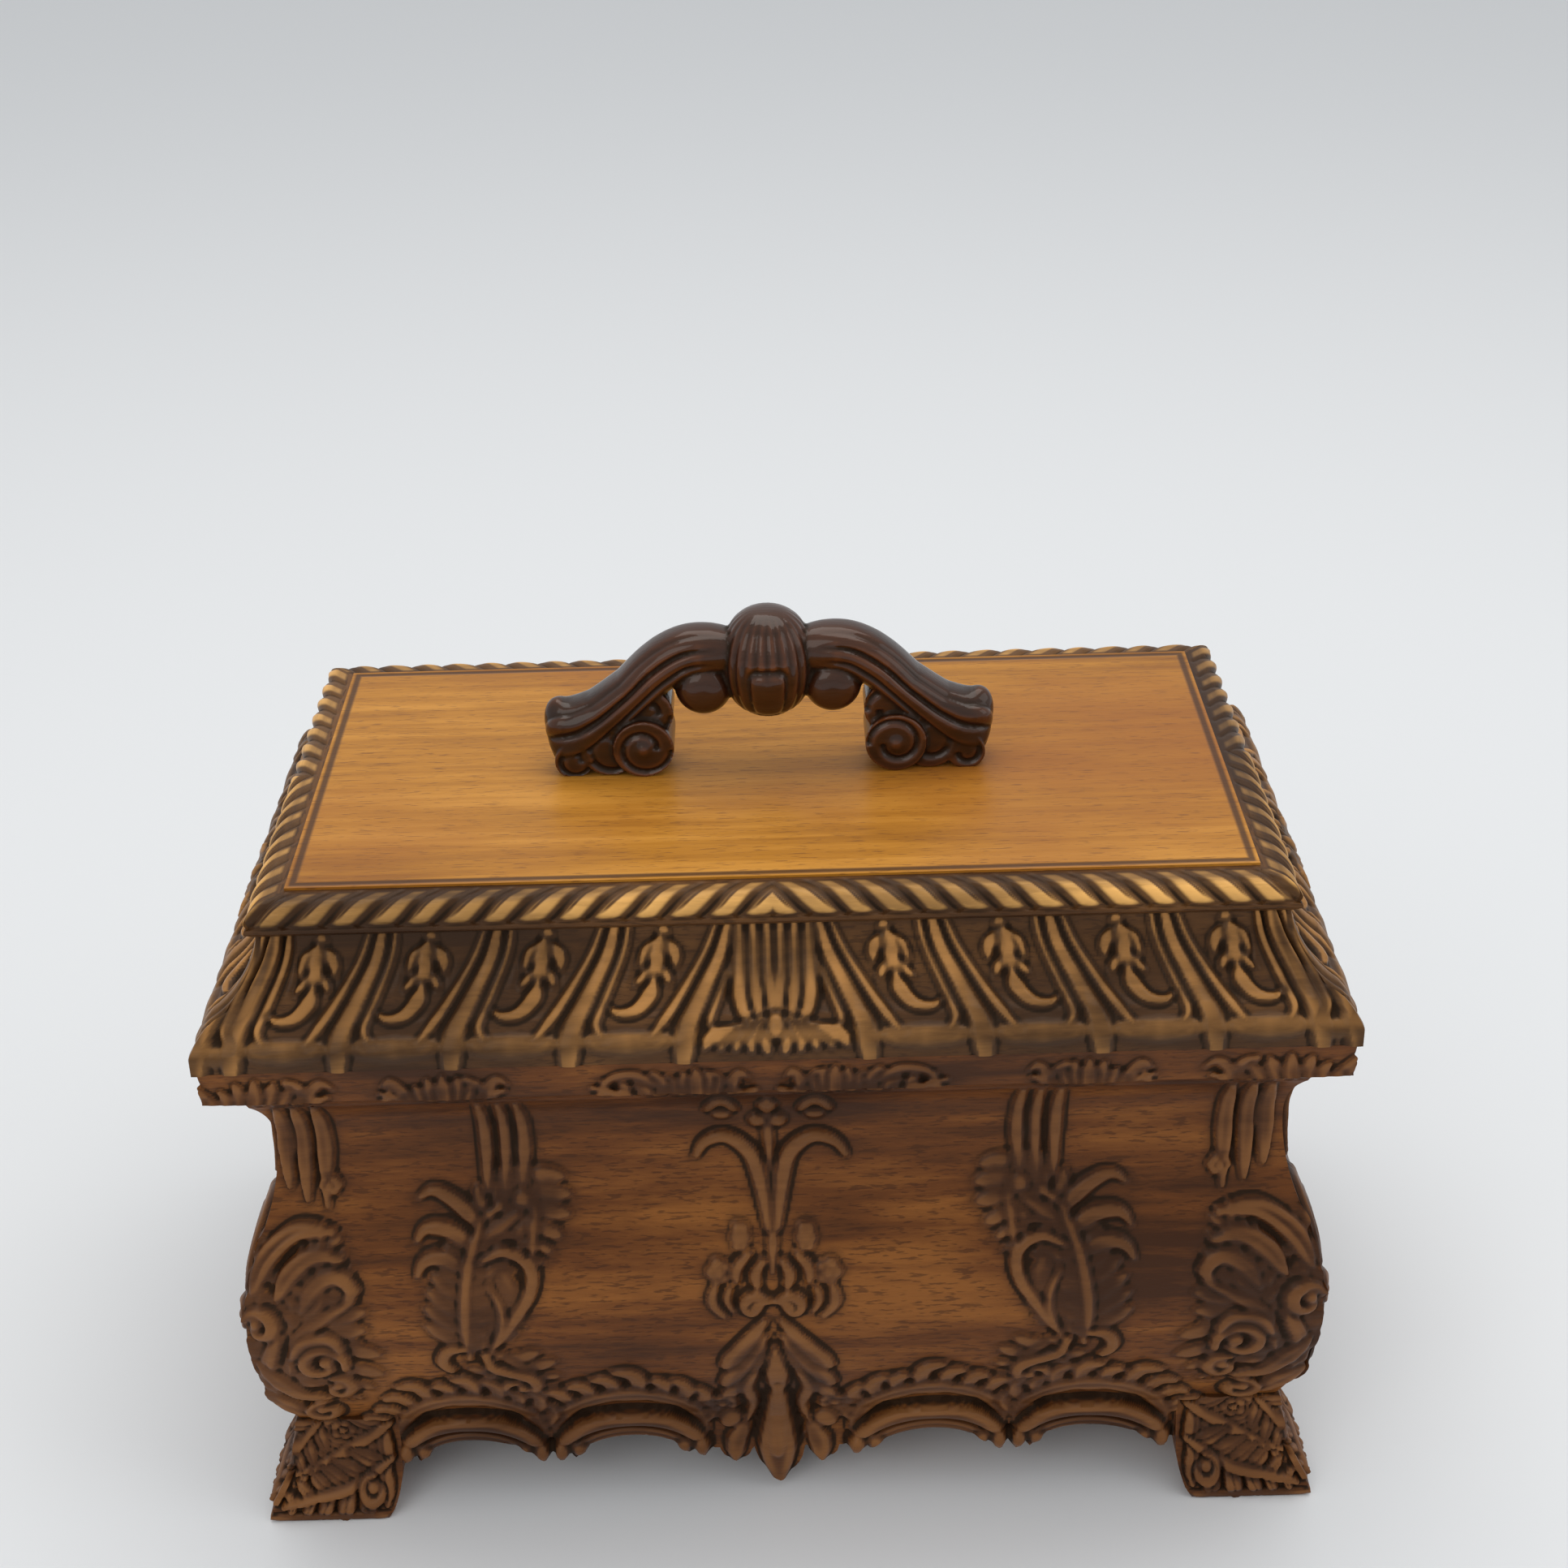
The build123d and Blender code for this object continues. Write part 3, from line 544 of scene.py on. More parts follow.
def carve_pendant(relief):
    """Fan of leaves over the long tongue in the middle of the skirt."""
    stroke = relief.stroke
    for k, (root, tip) in enumerate([(60, 36), (64, 44), (69, 52)]):
        leaf = [(2.2, root), (7.0, (root + tip) / 2 + 2.0), (15.5 - k * 0.4, tip)]
        stroke(leaf, [1.6, 2.6, 3.1], [1.8, 2.2, 2.0], edge=0.6, lines=2, groove=0.6)
    relief.boss((16.0, 33.5), (5.4, 4.6), 2.2, petals=5)
    relief.boss((13.5, 26.5), (4.0, 3.6), 2.4)
    stroke([(8.8, 25), (11.8, 18), (12.6, 11)], [2.2, 3.2, 2.4], 2.4, edge=0.55, hollow=0.35, groove=0.7)
    stroke([(5.4, 50), (8.4, 42), (6.6, 33), (8.6, 26)], [1.4, 2.2, 1.6], 1.9, rib=0.25)
    stroke([(0, 60), (0, 50), (0, 40)], [1.0, 3.6, 2.6], [2.0, 2.8, 2.6], edge=0.4, groove=0.7)
    tongue = [(0, 44), (0, 30), (0, 14), (0, 2.5)]
    stroke(tongue, [2.4, 4.2, 5.8, 3.0], [2.8, 3.6, 3.6, 2.0], edge=0.35, groove=0.8)
    stroke([(0, 40), (0, 28), (0, 15)], [1.6, 2.6, 2.2], [3.4, 4.6, 4.2], edge=0.8, groove=0.0)


def carve_scrolls(relief):
    """The pair of scrolls above the fan."""
    relief.volute((5.2, 74.2), 3.6, 150, 0.95, 1.9, 2.6, hand=-1, lead=[(0.4, 76.0)])


def carve_middle(relief):
    """Stem with two C-hooks, a trefoil above and husks about the scrolls over the fan."""
    stroke, boss = relief.stroke, relief.boss
    stroke([(0, 136), (0, 110), (0, 84)], [2.0, 1.3, 1.6], 1.3, edge=0.2, groove=0.5)
    hook = [(1.6, 96), (2.6, 106), (5.2, 116.5), (11.5, 122), (17.5, 120.5), (20.6, 115.8)]
    stroke(hook, [1.4, 1.9, 2.4, 2.3, 1.9, 1.3], [1.4, 2.2, 2.4, 2.2], edge=0.55, hollow=0.2, groove=0.8)
    boss((0, 133), 2.7, 2.0)
    boss((3.0, 127.6), 2.3, 2.0)
    stroke([(8.6, 131), (12.6, 135.5), (16.8, 131)], [1.4, 2.0, 1.4], 1.8)
    boss((12.6, 129.6), (3.0, 1.8), 1.4)
    boss((9.0, 94), (3.0, 4.4), 1.6, petals=6)
    boss((14.8, 84.5), (3.8, 4.2), 1.8, petals=5)
    stroke([(6.0, 90), (9.5, 86), (10.0, 81)], [1.2, 1.8, 1.2], 1.5)
    stroke([(16.0, 81), (16.6, 75), (13.2, 70)], [1.2, 1.7, 1.1], 1.4)
    stroke([(11.5, 81), (12.6, 76), (10.4, 71.5)], [1.0, 1.5, 1.0], 1.4)
    stroke([(2.2, 88), (4.6, 84), (3.8, 79)], [1.2, 1.8, 1.2], 1.8)
    carve_scrolls(relief)


def carve_spray(relief):
    """A shorter middle for the sides of the box: a tall bud on a leafy stem."""
    relief.stroke([(0, 137), (0, 118), (0, 92)], [2.2, 2.6, 1.4], 1.8, rib=0.2)
    relief.acanthus([(0, 74), (0, 96), (0, 118)], 9.0, 1.9, count=4)
    carve_scrolls(relief)


def carve_column(relief, middle):
    """Reeds, leaves and a veined oval, a quarter of the way along the front."""
    def at(*points):
        return [(middle + across, z) for across, z in points]

    stroke, acanthus = relief.stroke, relief.acanthus
    acanthus(at((9, 58), (7, 74), (4, 90), (-3, 104)), 9.0, 1.5, count=9, spread=58)
    acanthus(at((-9, 116), (-12, 102), (-11, 88)), 6.5, 1.6, count=6, spread=62)
    acanthus(at((4, 100), (-4, 106), (-8, 116)), 5.5, 1.6, count=4, spread=58)
    acanthus(at((-4, 60), (4, 50), (15, 45)), 5.5, 1.5, count=4, spread=58)
    acanthus(at((-1, 58), (-8, 52), (-13, 44)), 5.5, 1.3, count=4, spread=55)
    for k, reed in enumerate((0.0, -5.4, -10.2)):
        line = at((reed + 0.8, 137), (reed, 124), (reed * 0.9 + 0.5, 108 - k * 2))
        stroke(line, [1.6, 2.2, 1.2], [1.2, 1.7, 1.2], edge=0.5, groove=0.6)
    relief.boss(at((-9.0, 106))[0], (2.6, 3.4), 1.8)
    for leaf in (
        at((1, 97), (7.5, 104), (15, 108.5), (20, 106)),
        at((3, 92), (10, 97.5), (17.5, 98.5), (21, 94.5)),
        at((5.4, 86), (12, 90.5), (18.5, 90.0), (21.5, 85)),
    ):
        stroke(leaf, [1.0, 2.7, 2.1, 0.7], 1.8, rib=0.25)
    stroke(at((3.5, 96), (-2.5, 99), (-8.5, 103)), [1.4, 2.0, 1.4], 1.6, rib=0.2)
    trunk = at((2, 101), (6.4, 88), (8.6, 74), (9.4, 61))
    stroke(trunk, [1.4, 1.9, 2.1, 1.4], [1.6, 2.2, 2.2, 1.8], edge=0.6, groove=0.7)
    oval = at((3.2, 60), (-3.6, 71), (-9.6, 80), (-10.4, 88), (-4.0, 92.5), (3.2, 90))
    stroke(at((1.0, 64), (-3.4, 76), (-3.0, 86)), [2.8, 5.6, 3.4], 1.3, edge=0.4, lines=3, groove=0.4)
    stroke(oval, [1.4, 1.9, 2.0, 1.3], [1.8, 2.2, 2.2], edge=0.5, groove=0.7)
    stroke(at((1.4, 62), (-1.6, 74), (1.4, 84)), [0.8, 1.2, 0.8], 1.9, groove=0.5)
    relief.volute(at((-3.8, 45.5))[0], 6.2, 100, 1.25, 2.1, 2.8, lead=at((4.4, 60), (2.4, 55)))
    stroke(at((9.6, 62), (14.4, 61.5), (16.5, 57), (13.6, 53)), [1.4, 2.0, 2.0, 1.4], 2.2)


def carve_corner(relief, edge):
    """Tall leaves, a big C-shaped acanthus and scrolls that run out over the corner."""
    def at(*points):
        return [(edge - inwards, z) for inwards, z in points]

    stroke, acanthus = relief.stroke, relief.acanthus
    acanthus(at((10, 44), (16, 60), (24, 76), (28, 100)), 10.5, 1.5, count=10, spread=60)
    acanthus(at((30, 66), (31, 52), (30, 40)), 6.5, 1.3, count=4, spread=60)
    acanthus(at((8, 100), (9, 84), (7, 62)), 5.5, 1.0, count=5, spread=60)
    for reed, low, high in ((30.4, 104, 137), (25.0, 106, 137), (20.4, 110, 137)):
        line = at((reed - 1.2, high), (reed, (low + high) / 2 + 3), (reed - 0.6, low))
        stroke(line, [1.9, 2.4, 1.3], [1.4, 1.8, 1.3], rib=0.15, groove=0.6)
    relief.boss(at((31.0, 110.5))[0], 3.3, 2.2, petals=6)
    leaf = at((6.5, 82), (12, 92), (21, 98.5), (31, 98))
    stroke(leaf, [2.0, 3.2, 2.8, 1.4], [1.6, 2.2, 2.0], edge=0.55, rib=0.2, lines=2, groove=0.7)
    leaf = at((13.5, 80), (18.5, 88), (26, 92.5), (32.5, 90))
    stroke(leaf, [1.8, 3.0, 2.6, 1.4], [1.6, 2.1, 1.9], edge=0.55, rib=0.2, groove=0.6)
    leaf = at((20, 76), (24, 83), (30.0, 86.6), (34.6, 82), (31.6, 77.5))
    stroke(leaf, [1.6, 2.6, 2.6, 2.0, 1.2], [1.5, 2.2, 2.2], edge=0.5, rib=0.15, groove=0.7)
    leaf = at((15.2, 54), (18.0, 66), (26.5, 74), (35, 79))
    stroke(leaf, [1.4, 2.2, 2.0, 1.0], 2.0, edge=0.6, rib=0.2, groove=0.6)
    leaf = at((9.0, 40), (8.6, 56), (12.4, 68), (10.6, 77))
    stroke(leaf, [2.4, 3.4, 2.6, 1.6], [2.2, 2.6, 2.2], edge=0.5, lines=2, groove=0.7)
    relief.volute(at((8.6, 71.5))[0], 5.6, 20, 1.1, 2.2, 2.9)
    relief.volute(at((24.4, 57.5))[0], 6.6, 200, 1.15, 2.3, 2.9, hand=-1)
    stroke(at((30.6, 62), (27, 66.5), (20.4, 65.5), (16.6, 60)), [1.6, 2.4, 2.2, 1.4], 2.5, groove=0.7)
    relief.volute(at((28.0, 47.0))[0], 4.6, 60, 1.1, 1.9, 2.6)
    leaf = at((6.0, 58), (12.5, 50), (17.5, 44.5), (25, 42.5))
    stroke(leaf, [1.8, 2.8, 2.4, 1.6], 2.5, rib=0.2, groove=0.7)
    stroke(at((6.5, 46), (12.5, 39.5), (18, 33.5)), [2.0, 3.0, 2.4], 2.3, rib=0.2, groove=0.6)
    relief.volute(at((22.6, 35.5))[0], 4.8, 100, 1.1, 2.0, 2.6, hand=-1)


def body_relief(x, z, run, count):
    """The whole carving of one body board, the same on both halves but never quite alike."""
    wobble = 0.55 * np.sin(0.083 * x + 1.3) + 0.4 * np.sin(0.11 * z + 0.031 * x)
    fade = np.clip((run / 2 - np.abs(x)) / corner_calm, 0, 1)
    shift = ornament_shift * (1 - 0.4 * (np.abs(x) / (run / 2)) ** 2) * fade
    folded = np.abs(x + shift + wobble * fade * 0.8)
    relief = Relief(folded, z + 0.4 * np.sin(0.07 * x + 0.6) * fade)
    carve_corner(relief, run / 2)
    if count > 1:
        carve_column(relief, column_place)
    carve_skirt(relief, run, count)
    if count > 1:
        carve_middle(relief)
    else:
        carve_spray(relief)
    carve_pendant(relief)
    low_at_corner = 0.45 + 0.55 * np.clip((run / 2 - 4 - np.abs(x)) / 7, 0, 1)
    return relief.height * low_at_corner, relief.carved


def mitred(along, beyond, inner, run, inset):
    """Places along a side, whose ends beyond inner follow its section as a mitre does."""
    return np.sign(along) * (np.minimum(np.abs(along), inner) + beyond * (run / 2 - inset - inner))


def carved_board(name, run, reach, count, pitch=0.66):
    """One body board: its curved face carved over a fine grid, then closed behind."""
    inner = run / 2 - foot_reach
    half_count = int(inner / pitch)
    end_count = int(foot_reach / pitch)
    along = np.concatenate([
        -inner - np.linspace(1, 0, end_count, endpoint=False) * foot_reach,
        np.linspace(-inner, inner, 2 * half_count + 1),
        inner + np.linspace(0, 1, end_count + 1)[1:] * foot_reach,
    ])
    upper = np.linspace(foot_height, panel_top, int((panel_top - foot_height) / pitch) + 1)
    lower_count = int((foot_height - 3) / pitch)
    low = skirt_line(along + ornament_shift * (np.abs(along) < 40), run, count)
    share = np.linspace(0, 1, lower_count, endpoint=False)[:, None]
    z = np.vstack([low[None] + (foot_height - low[None]) * share, np.repeat(upper[:, None], len(along), 1)])
    along = along[None]
    beyond = np.clip((np.abs(along) - inner) / foot_reach, 0, 1)
    inset = body_inset(z)
    height, carved = body_relief(mitred(along, beyond, inner, run, inset), z, run, count)
    height = np.clip(soften(height, 1, 1), -1.2, inset - 0.2)
    inset = inset - height
    x = mitred(along, beyond, inner, run, inset)
    piece = grid_piece(name, x.shape[1], x.shape[0])
    set_places(piece, np.stack([x, inset - reach, z], -1).reshape(-1, 3) * MM)
    mark_shade_light_and_wear(piece, height, carved, pitch)
    over_foot = np.zeros(z.shape, bool)
    over_foot[:lower_count] = np.abs(along) > inner + 1e-6
    bpy.ops.object.mode_set(mode="EDIT")
    bpy.ops.mesh.select_mode(type="VERT")
    bpy.ops.mesh.select_all(action="DESELECT")
    bpy.ops.object.mode_set(mode="OBJECT")
    piece.data.vertices.foreach_set("select", over_foot.ravel())
    bpy.ops.object.mode_set(mode="EDIT")
    bpy.ops.mesh.delete(type="VERT")
    bpy.ops.object.mode_set(mode="OBJECT")
    close_behind(piece, reach, wall_inset, run)
    return piece


def carved_wood(name, grain_turn, ground, carving, rubbed_and_lit, gloss=0.1, coat_roughness=0.2):
    """Stained hardwood: grain on the ground and grey-brown in the carving, with painted shade on the ground
    close round the carving and near black in the cuts, and a painted highlight on the crests.

    ground has three tones, dark to light, carving two, and the last colour is for crests that are rubbed and
    given a painted highlight.
    """
    finish = Finish(name)
    turn = {"Vector": finish.spot(), "Rotation": (0, 0, radians(grain_turn))}
    turned = finish.node("ShaderNodeMapping", inputs=turn)
    streak = finish.noise(turned, (16, 150, 150), 6.0, 0.66, 0.3)
    pores = finish.noise(turned, (210, 1250, 1250), 2.0)
    cloud = finish.noise(turned, (9, 20, 20), 3.0, 0.5)
    hollow_shade, crest_rub_and_highlight, carved = finish.mark("hollow_shade"), finish.mark("crest_rub_and_highlight"), finish.mark("carved")
    dark, mid, light = ground
    figure = (streak - 0.5) * 0.85 + (cloud - 0.5) * 1.1 + 0.5
    tone = finish.node("ShaderNodeValToRGB", stops=[(0.3, dark), (0.5, mid), (0.7, light)], inputs=[figure])
    tone = finish.over(pores.between(0.53, 0.64) * 0.6, tone, dark)
    # Painted shade: the ground close round the carving is darkened towards the carving's dark tone.
    tone = finish.over(carved.between(0.15, 0.9) * 0.45, tone, carving[0])
    # The carving's lighter tone follows the crests in part, a painted highlight.
    member = finish.over((figure + crest_rub_and_highlight * 0.4).between(0.35, 0.85), carving[0], carving[1])
    tone = finish.over(carved.between(0.8, 0.98) * 0.85, tone, member)
    # Rubbed wear and painted highlight: the crests are lightened in patches.
    patchy = (0.35 + 0.65 * cloud.between(0.35, 0.6)) * (0.55 + 0.45 * streak.between(0.35, 0.6))
    tone = finish.over(crest_rub_and_highlight.between(0.25, 1.0) * patchy, tone, rubbed_and_lit)
    # Painted shade: the hollows are darkened nearly to black.
    tone = finish.over(hollow_shade.between(0.06, 0.8) * 0.9, tone, (0.014, 0.008, 0.005))
    finish.set(base_color=tone, roughness=0.42 - 0.2 * gloss + hollow_shade * 0.35 + streak * 0.12)
    finish.set(specular_ior_level=0.22, specular_tint=(1.0, 0.72, 0.5))
    finish.set(coat_weight=gloss * (1 - hollow_shade), coat_roughness=coat_roughness)
    finish.bump(streak * 0.5 + pores * 0.7, 0.3, 0.0004)
    return finish.material


def two_grains(name, *colours):
    """A finish for boards that run along the front, and one for those that run back."""
    return {"front": carved_wood(name, 0, *colours), "side": carved_wood(f"{name}_sides", 90, *colours)}


body_ground = [(0.045, 0.014, 0.005), (0.130, 0.040, 0.009), (0.25, 0.088, 0.018)]
body_carving = [(0.036, 0.012, 0.005), (0.108, 0.040, 0.014)]
# Colour of the crests: rubbed wear with a painted highlight.
body_rubbed_and_lit = (0.22, 0.090, 0.028)
body_wood = two_grains("body_wood", body_ground, body_carving, body_rubbed_and_lit)
sides = {
    "front": (box_width, box_depth / 2, 0, "front", 2),
    "right": (box_depth, box_width / 2, 90, "side", 1),
    "back": (box_width, box_depth / 2, 180, "front", 2),
    "left": (box_depth, box_width / 2, 270, "side", 1),
}
for side, (run, reach, turn, grain, arches) in sides.items():
    board = carved_board(f"{side}_board", run, reach, arches)
    stand(board, turn, f"{side}_panel", "box", body_wood[grain])


# The four flared feet, sawn with the same curve on both outer faces and carved with acanthus
# that runs out to the toe. They are glued under the corners of the body boards.
foot_toe = (2.0, 4.0)
foot_heel = (35.0, 0.0)
foot_pitch = 0.55
face_arc = round_line((apron_inset, foot_height), foot_toe, (0, -1))[::-1]
knee_arc = round_line((foot_reach, apron_bottom), foot_heel, (0, -1))[::-1]
foot_faces = np.vstack([[(foot_toe[0], 0.0)], face_arc])
foot_knees = np.vstack([knee_arc, [(foot_reach, foot_height)]])


def carve_foot(relief):
    """Places are (distance from the corner, height): sprays of leaves and a plain band at the toe."""
    relief.acanthus([(35, 28), (26, 22), (16, 16), (7, 13)], 8.0, 1.8, count=6, spread=55)
    relief.acanthus([(35, 17), (24, 10), (12, 7), (3, 5)], 6.5, 1.9, count=6, spread=55)
    relief.acanthus([(15, 29), (9, 22), (4, 14)], 5.5, 1.7, count=4, spread=50)
    relief.stroke([(6, 29), (5.4, 20), (3.6, 12), (1.5, 6)], [1.6, 2.0, 2.2, 1.6], [2.0, 1.8, 1.2], rib=0.2)
    relief.volute((29.5, 8.4), 4.0, 90, 1.05, 1.7, 2.2)
    relief.boss((21.5, 26.0), (3.6, 3.0), 2.0, petals=5)
    relief.stroke([(0, 1.2), (18, 1.2), (36, 1.2)], [1.3, 1.3, 1.3], 0.8, edge=0.85, groove=0.5)


def carved_foot(name, right, back):
    """One foot: its section is a square with two carved outer sides, at every height."""
    outer = int((foot_reach - foot_toe[0]) / foot_pitch)
    side = np.concatenate([np.linspace(1, 0, outer, endpoint=False), np.linspace(0, 1, outer + 1)])
    plain = np.linspace(0, 1, 7)[1:]
    z = np.linspace(0, foot_height, int(foot_height / foot_pitch) + 1)[:, None]
    face = np.interp(z, foot_faces[:, 1], foot_faces[:, 0])
    knee = np.interp(z, foot_knees[:, 1], foot_knees[:, 0])
    away = face + (knee - face) * side[None]
    relief = Relief(away - foot_toe[0] + 0 * z, z + 0 * away)
    carve_foot(relief)
    fade = np.clip((knee - away) / 1.5, 0, 1)
    height = np.clip(relief.height * fade, -1.0, face - 0.1)
    front = np.arange(len(side)) < outer
    x = np.where(front[None], away, face - height)
    y = np.where(front[None], face - height, away)
    corner = np.abs(away - face) < 1e-6
    x, y = np.where(corner, face - height, x), np.where(corner, face - height, y)
    inner_x = np.hstack([face + (knee - face) * plain[None], knee + 0 * plain[None]])
    inner_y = np.hstack([knee + 0 * plain[None], knee - (knee - face) * plain[None]])
    x, y = np.hstack([x, inner_x]), np.hstack([y, inner_y])
    piece = grid_piece(name, x.shape[1], x.shape[0])
    sign_x, sign_y = (1 if right else -1), (1 if back else -1)
    places = np.stack([sign_x * (box_width / 2 - x), sign_y * (box_depth / 2 - y), z + 0 * x], -1)
    set_places(piece, places.reshape(-1, 3) * MM)
    flat = np.zeros(inner_x.shape)
    mark_shade_light_and_wear(piece, np.hstack([height, flat]), np.hstack([relief.carved, flat]), foot_pitch)
    close_wrapped()
    return piece


def close_wrapped():
    """Joins the seam of the wrapped grid that was made last and fills its open ends."""
    bpy.ops.object.mode_set(mode="EDIT")
    bpy.ops.mesh.select_all(action="SELECT")
    bpy.ops.mesh.remove_doubles(threshold=1e-6)
    bpy.ops.mesh.fill_holes(sides=0)
    bpy.ops.mesh.select_all(action="SELECT")
    bpy.ops.mesh.normals_make_consistent(inside=False)
    bpy.ops.object.mode_set(mode="OBJECT")


for back in (False, True):
    for right in (False, True):
        corner = f"{'back' if back else 'front'}_{'right' if right else 'left'}"
        foot = carved_foot(f"carved_foot_{corner}", right, back)
        stand(foot, 0, f"foot_{corner}", "box", body_wood["front"])


# The rim: a moulding of the same wood, mitred and glued round the top of the body, with clusters
# of acanthus that hang over the hollow below it. The back one is plain and carries the hinges.
rim_top = 156.0
seam_height, seam_half = 156.15, 0.15
hinge_line = 84.5
notch_slope = 1.235


def moulding(name, run, reach, line, carve, back, pitch=0.55):
    """A section drawn along one side, carved over, mitred at both ends and closed behind."""
    line = np.array(line, float)
    lengths = np.append(0, np.cumsum(np.hypot(*np.diff(line, axis=0).T)))
    up = np.linspace(0, lengths[-1], int(lengths[-1] / pitch) + 1)
    inset, z = (np.interp(up, lengths, line[:, k])[:, None] for k in (0, 1))
    slope = np.stack([np.gradient(inset[:, 0], up), np.gradient(z[:, 0], up)], 1)
    slope = soften(slope, 1) if len(up) > 12 else slope
    slope /= np.hypot(*slope.T)[:, None]
    inner = run / 2 - back
    ends = np.linspace(0, 1, int(back / pitch) + 1)[1:]
    middle = np.linspace(-inner, inner, 2 * int(inner / pitch) + 1)
    along = np.concatenate([-inner - ends[::-1], middle, inner + ends])[None]
    beyond = np.clip(np.abs(along) - inner, 0, 1)
    x = mitred(along, beyond, inner, run, inset)
    # Each carving gives heights, a carved mask and the bands painted with highlight.
    height, carved, painted_highlight = carve(x, up[:, None] + 0 * x, run)
    height = soften(height, 1, 1)
    height = np.minimum(height, np.maximum(inset - 0.15, 0) / np.maximum(slope[:, 1:], 0.3))
    face = np.minimum(inset - slope[:, 1:] * height, back)
    z = np.clip(z + slope[:, :1] * height, line[:, 1].min(), line[:, 1].max())
    # The mitred ends must rise all the way, or their outline crosses itself and can't be closed.
    z[0], z[-1] = line[0, 1], line[-1, 1]
    for end in (0, -1):
        rise = np.maximum.accumulate(z[:, end])
        z[:, end] = 0.98 * rise + 0.02 * np.linspace(rise[0], rise[-1], len(rise))
    x = mitred(along, beyond, inner, run, face)
    piece = grid_piece(name, x.shape[1], x.shape[0])
    set_places(piece, np.stack([x, face - reach, z], -1).reshape(-1, 3) * MM)
    mark_shade_light_and_wear(piece, height, carved, pitch, painted_highlight)
    close_behind(piece, reach, back, run)
    return piece


def clear_of_hinge(piece, sign):
    """Takes the back corners off along the slope that lets the lid lean back: below or above the seam."""
    places = get_places(piece) / MM
    past = np.maximum(places[:, 1] - hinge_line, 0) * notch_slope
    level = seam_height + sign * (seam_half + past)
    beyond = past > 0
    limited = np.minimum(places[:, 2], level) if sign < 0 else np.maximum(places[:, 2], level)
    places[beyond, 2] = limited[beyond]
    set_places(piece, places * MM)


def carve_rim(x, s, run):
    """Places are (along, distance up the section). The front has more leaves than the sides."""
    fade = np.clip((run / 2 - np.abs(x)) / corner_calm, 0, 1)
    folded = np.abs(x + ornament_shift * fade) + 0.5 * np.sin(0.09 * x)
    relief = Relief(folded, s)
    edge = run / 2
    is_front = edge > 100
    if is_front:
        relief.acanthus([(3, 12), (16, 8), (30, 9), (46, 14)], 7.5, 2.0, count=7, spread=55)
        relief.acanthus([(68, 14), (83, 8), (100, 14)], 6.5, 1.8, count=7, spread=55)
    relief.acanthus([(edge - 36, 13), (edge - 20, 8), (edge - 5, 10)], 6.5, 1.8, count=6, spread=55)
    clusters = [(18.0, 9.5), (83.0, 11.5)] if is_front else [(0.0, 12.0)]
    for middle, half in [*clusters, (edge - 17, 15)]:
        for hand in (-1, 1):
            bends = ((0.3, 9.0), (0.8, 12.0), (1.15, 17.5), (1.4, 16.0))
            arm = [(middle + hand * half * away, up) for away, up in bends]
            relief.stroke(arm, [1.6, 2.4, 1.9, 1.0], [2.6, 1.8, 1.2, 1.0], rib=0.3, groove=0.6)
        for k in (-3, 3, -2, 2, -1, 1, 0):
            lean = k * 0.42
            root = (middle + 1.2 * sin(lean), 6.0 + 1.0 * abs(k))
            bend = (middle + half * 0.55 * sin(lean), 8.4 + 5.4 * cos(lean))
            tip = (middle + half * 0.85 * sin(lean), 9.4 + 9.6 * cos(lean))
            relief.stroke([root, bend, tip], [1.5, 2.4, 1.6], [3.2, 2.2, 1.3], edge=0.4, rib=0.25, groove=0.6)
    if is_front:
        relief.stroke([(29, 14), (34, 17.6), (40, 17), (43.5, 13.6)], [1.2, 1.8, 1.6, 1.0], 1.3)
    height = relief.height * np.clip(s / 2.0, 0, 1) * np.clip((21.6 - s) / 0.8, 0, 1)
    return np.clip(height, -1.0, 5.0), relief.carved, 0.0


rim_line = np.vstack([round_line((flare_inset, panel_top), (2.6, 146.0), (-0.35, 1)), [(1.6, rim_top)]])
for side in ("front", "right", "left"):
    run, reach, turn, grain, _ = sides[side]
    rim = moulding(f"carved_rim_{side}", run, reach, rim_line, carve_rim, wall_inset)
    stand(rim, turn, f"rim_{side}", "box", body_wood[grain])
    clear_of_hinge(rim, -1)


def finish_node(name, material):
    """Gives a CAD piece that is plain in the real box its finish."""
    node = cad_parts[name]
    if node.data.materials:
        node.data.materials[0] = material
    else:
        node.data.materials.append(material)


finish_node("rim_back", body_wood["front"])


# The floor: one board held in grooves of the walls and stained like them, with a dark red felt
# laid loose on it. The felt is a single cut sheet, a little smaller than the floor.
finish_node("floor_board", body_wood["front"])
lining_half = (121.5, 59.0)
lining_level, lining_thick = 41.05, 0.9
lining = grid_piece("felt_lining", 161, 81)
lining_places = get_places(lining) * 2
nap = 0.12 * np.sin(lining_places[:, 0] * 23) * np.sin(lining_places[:, 1] * 17)
lining_places[:, :2] *= lining_half
lining_places[:, 2] = lining_level + nap
set_places(lining, lining_places * MM)
bpy.ops.object.mode_set(mode="EDIT")
bpy.ops.mesh.select_all(action="SELECT")
bpy.ops.mesh.solidify(thickness=lining_thick * MM)
bpy.ops.mesh.normals_make_consistent(inside=False)
bpy.ops.object.mode_set(mode="OBJECT")
felt = Finish("felt")
fibres = felt.noise(felt.spot(), (1800, 1800, 1800), 5.0, 0.7)
patches = felt.noise(felt.spot(), (60, 60, 60), 3.0, 0.5)
felt_tone = felt.over(fibres.between(0.3, 0.7), (0.09, 0.008, 0.012), (0.22, 0.025, 0.032))
felt_tone = felt.over(patches * 0.35, felt_tone, (0.12, 0.014, 0.02))
felt.set(base_color=felt_tone, roughness=0.95, sheen_weight=0.4)
felt.bump(fibres, 0.5, 0.0003)
lining.data.materials.append(felt.material)
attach(lining, "box")
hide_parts("floor_lining")


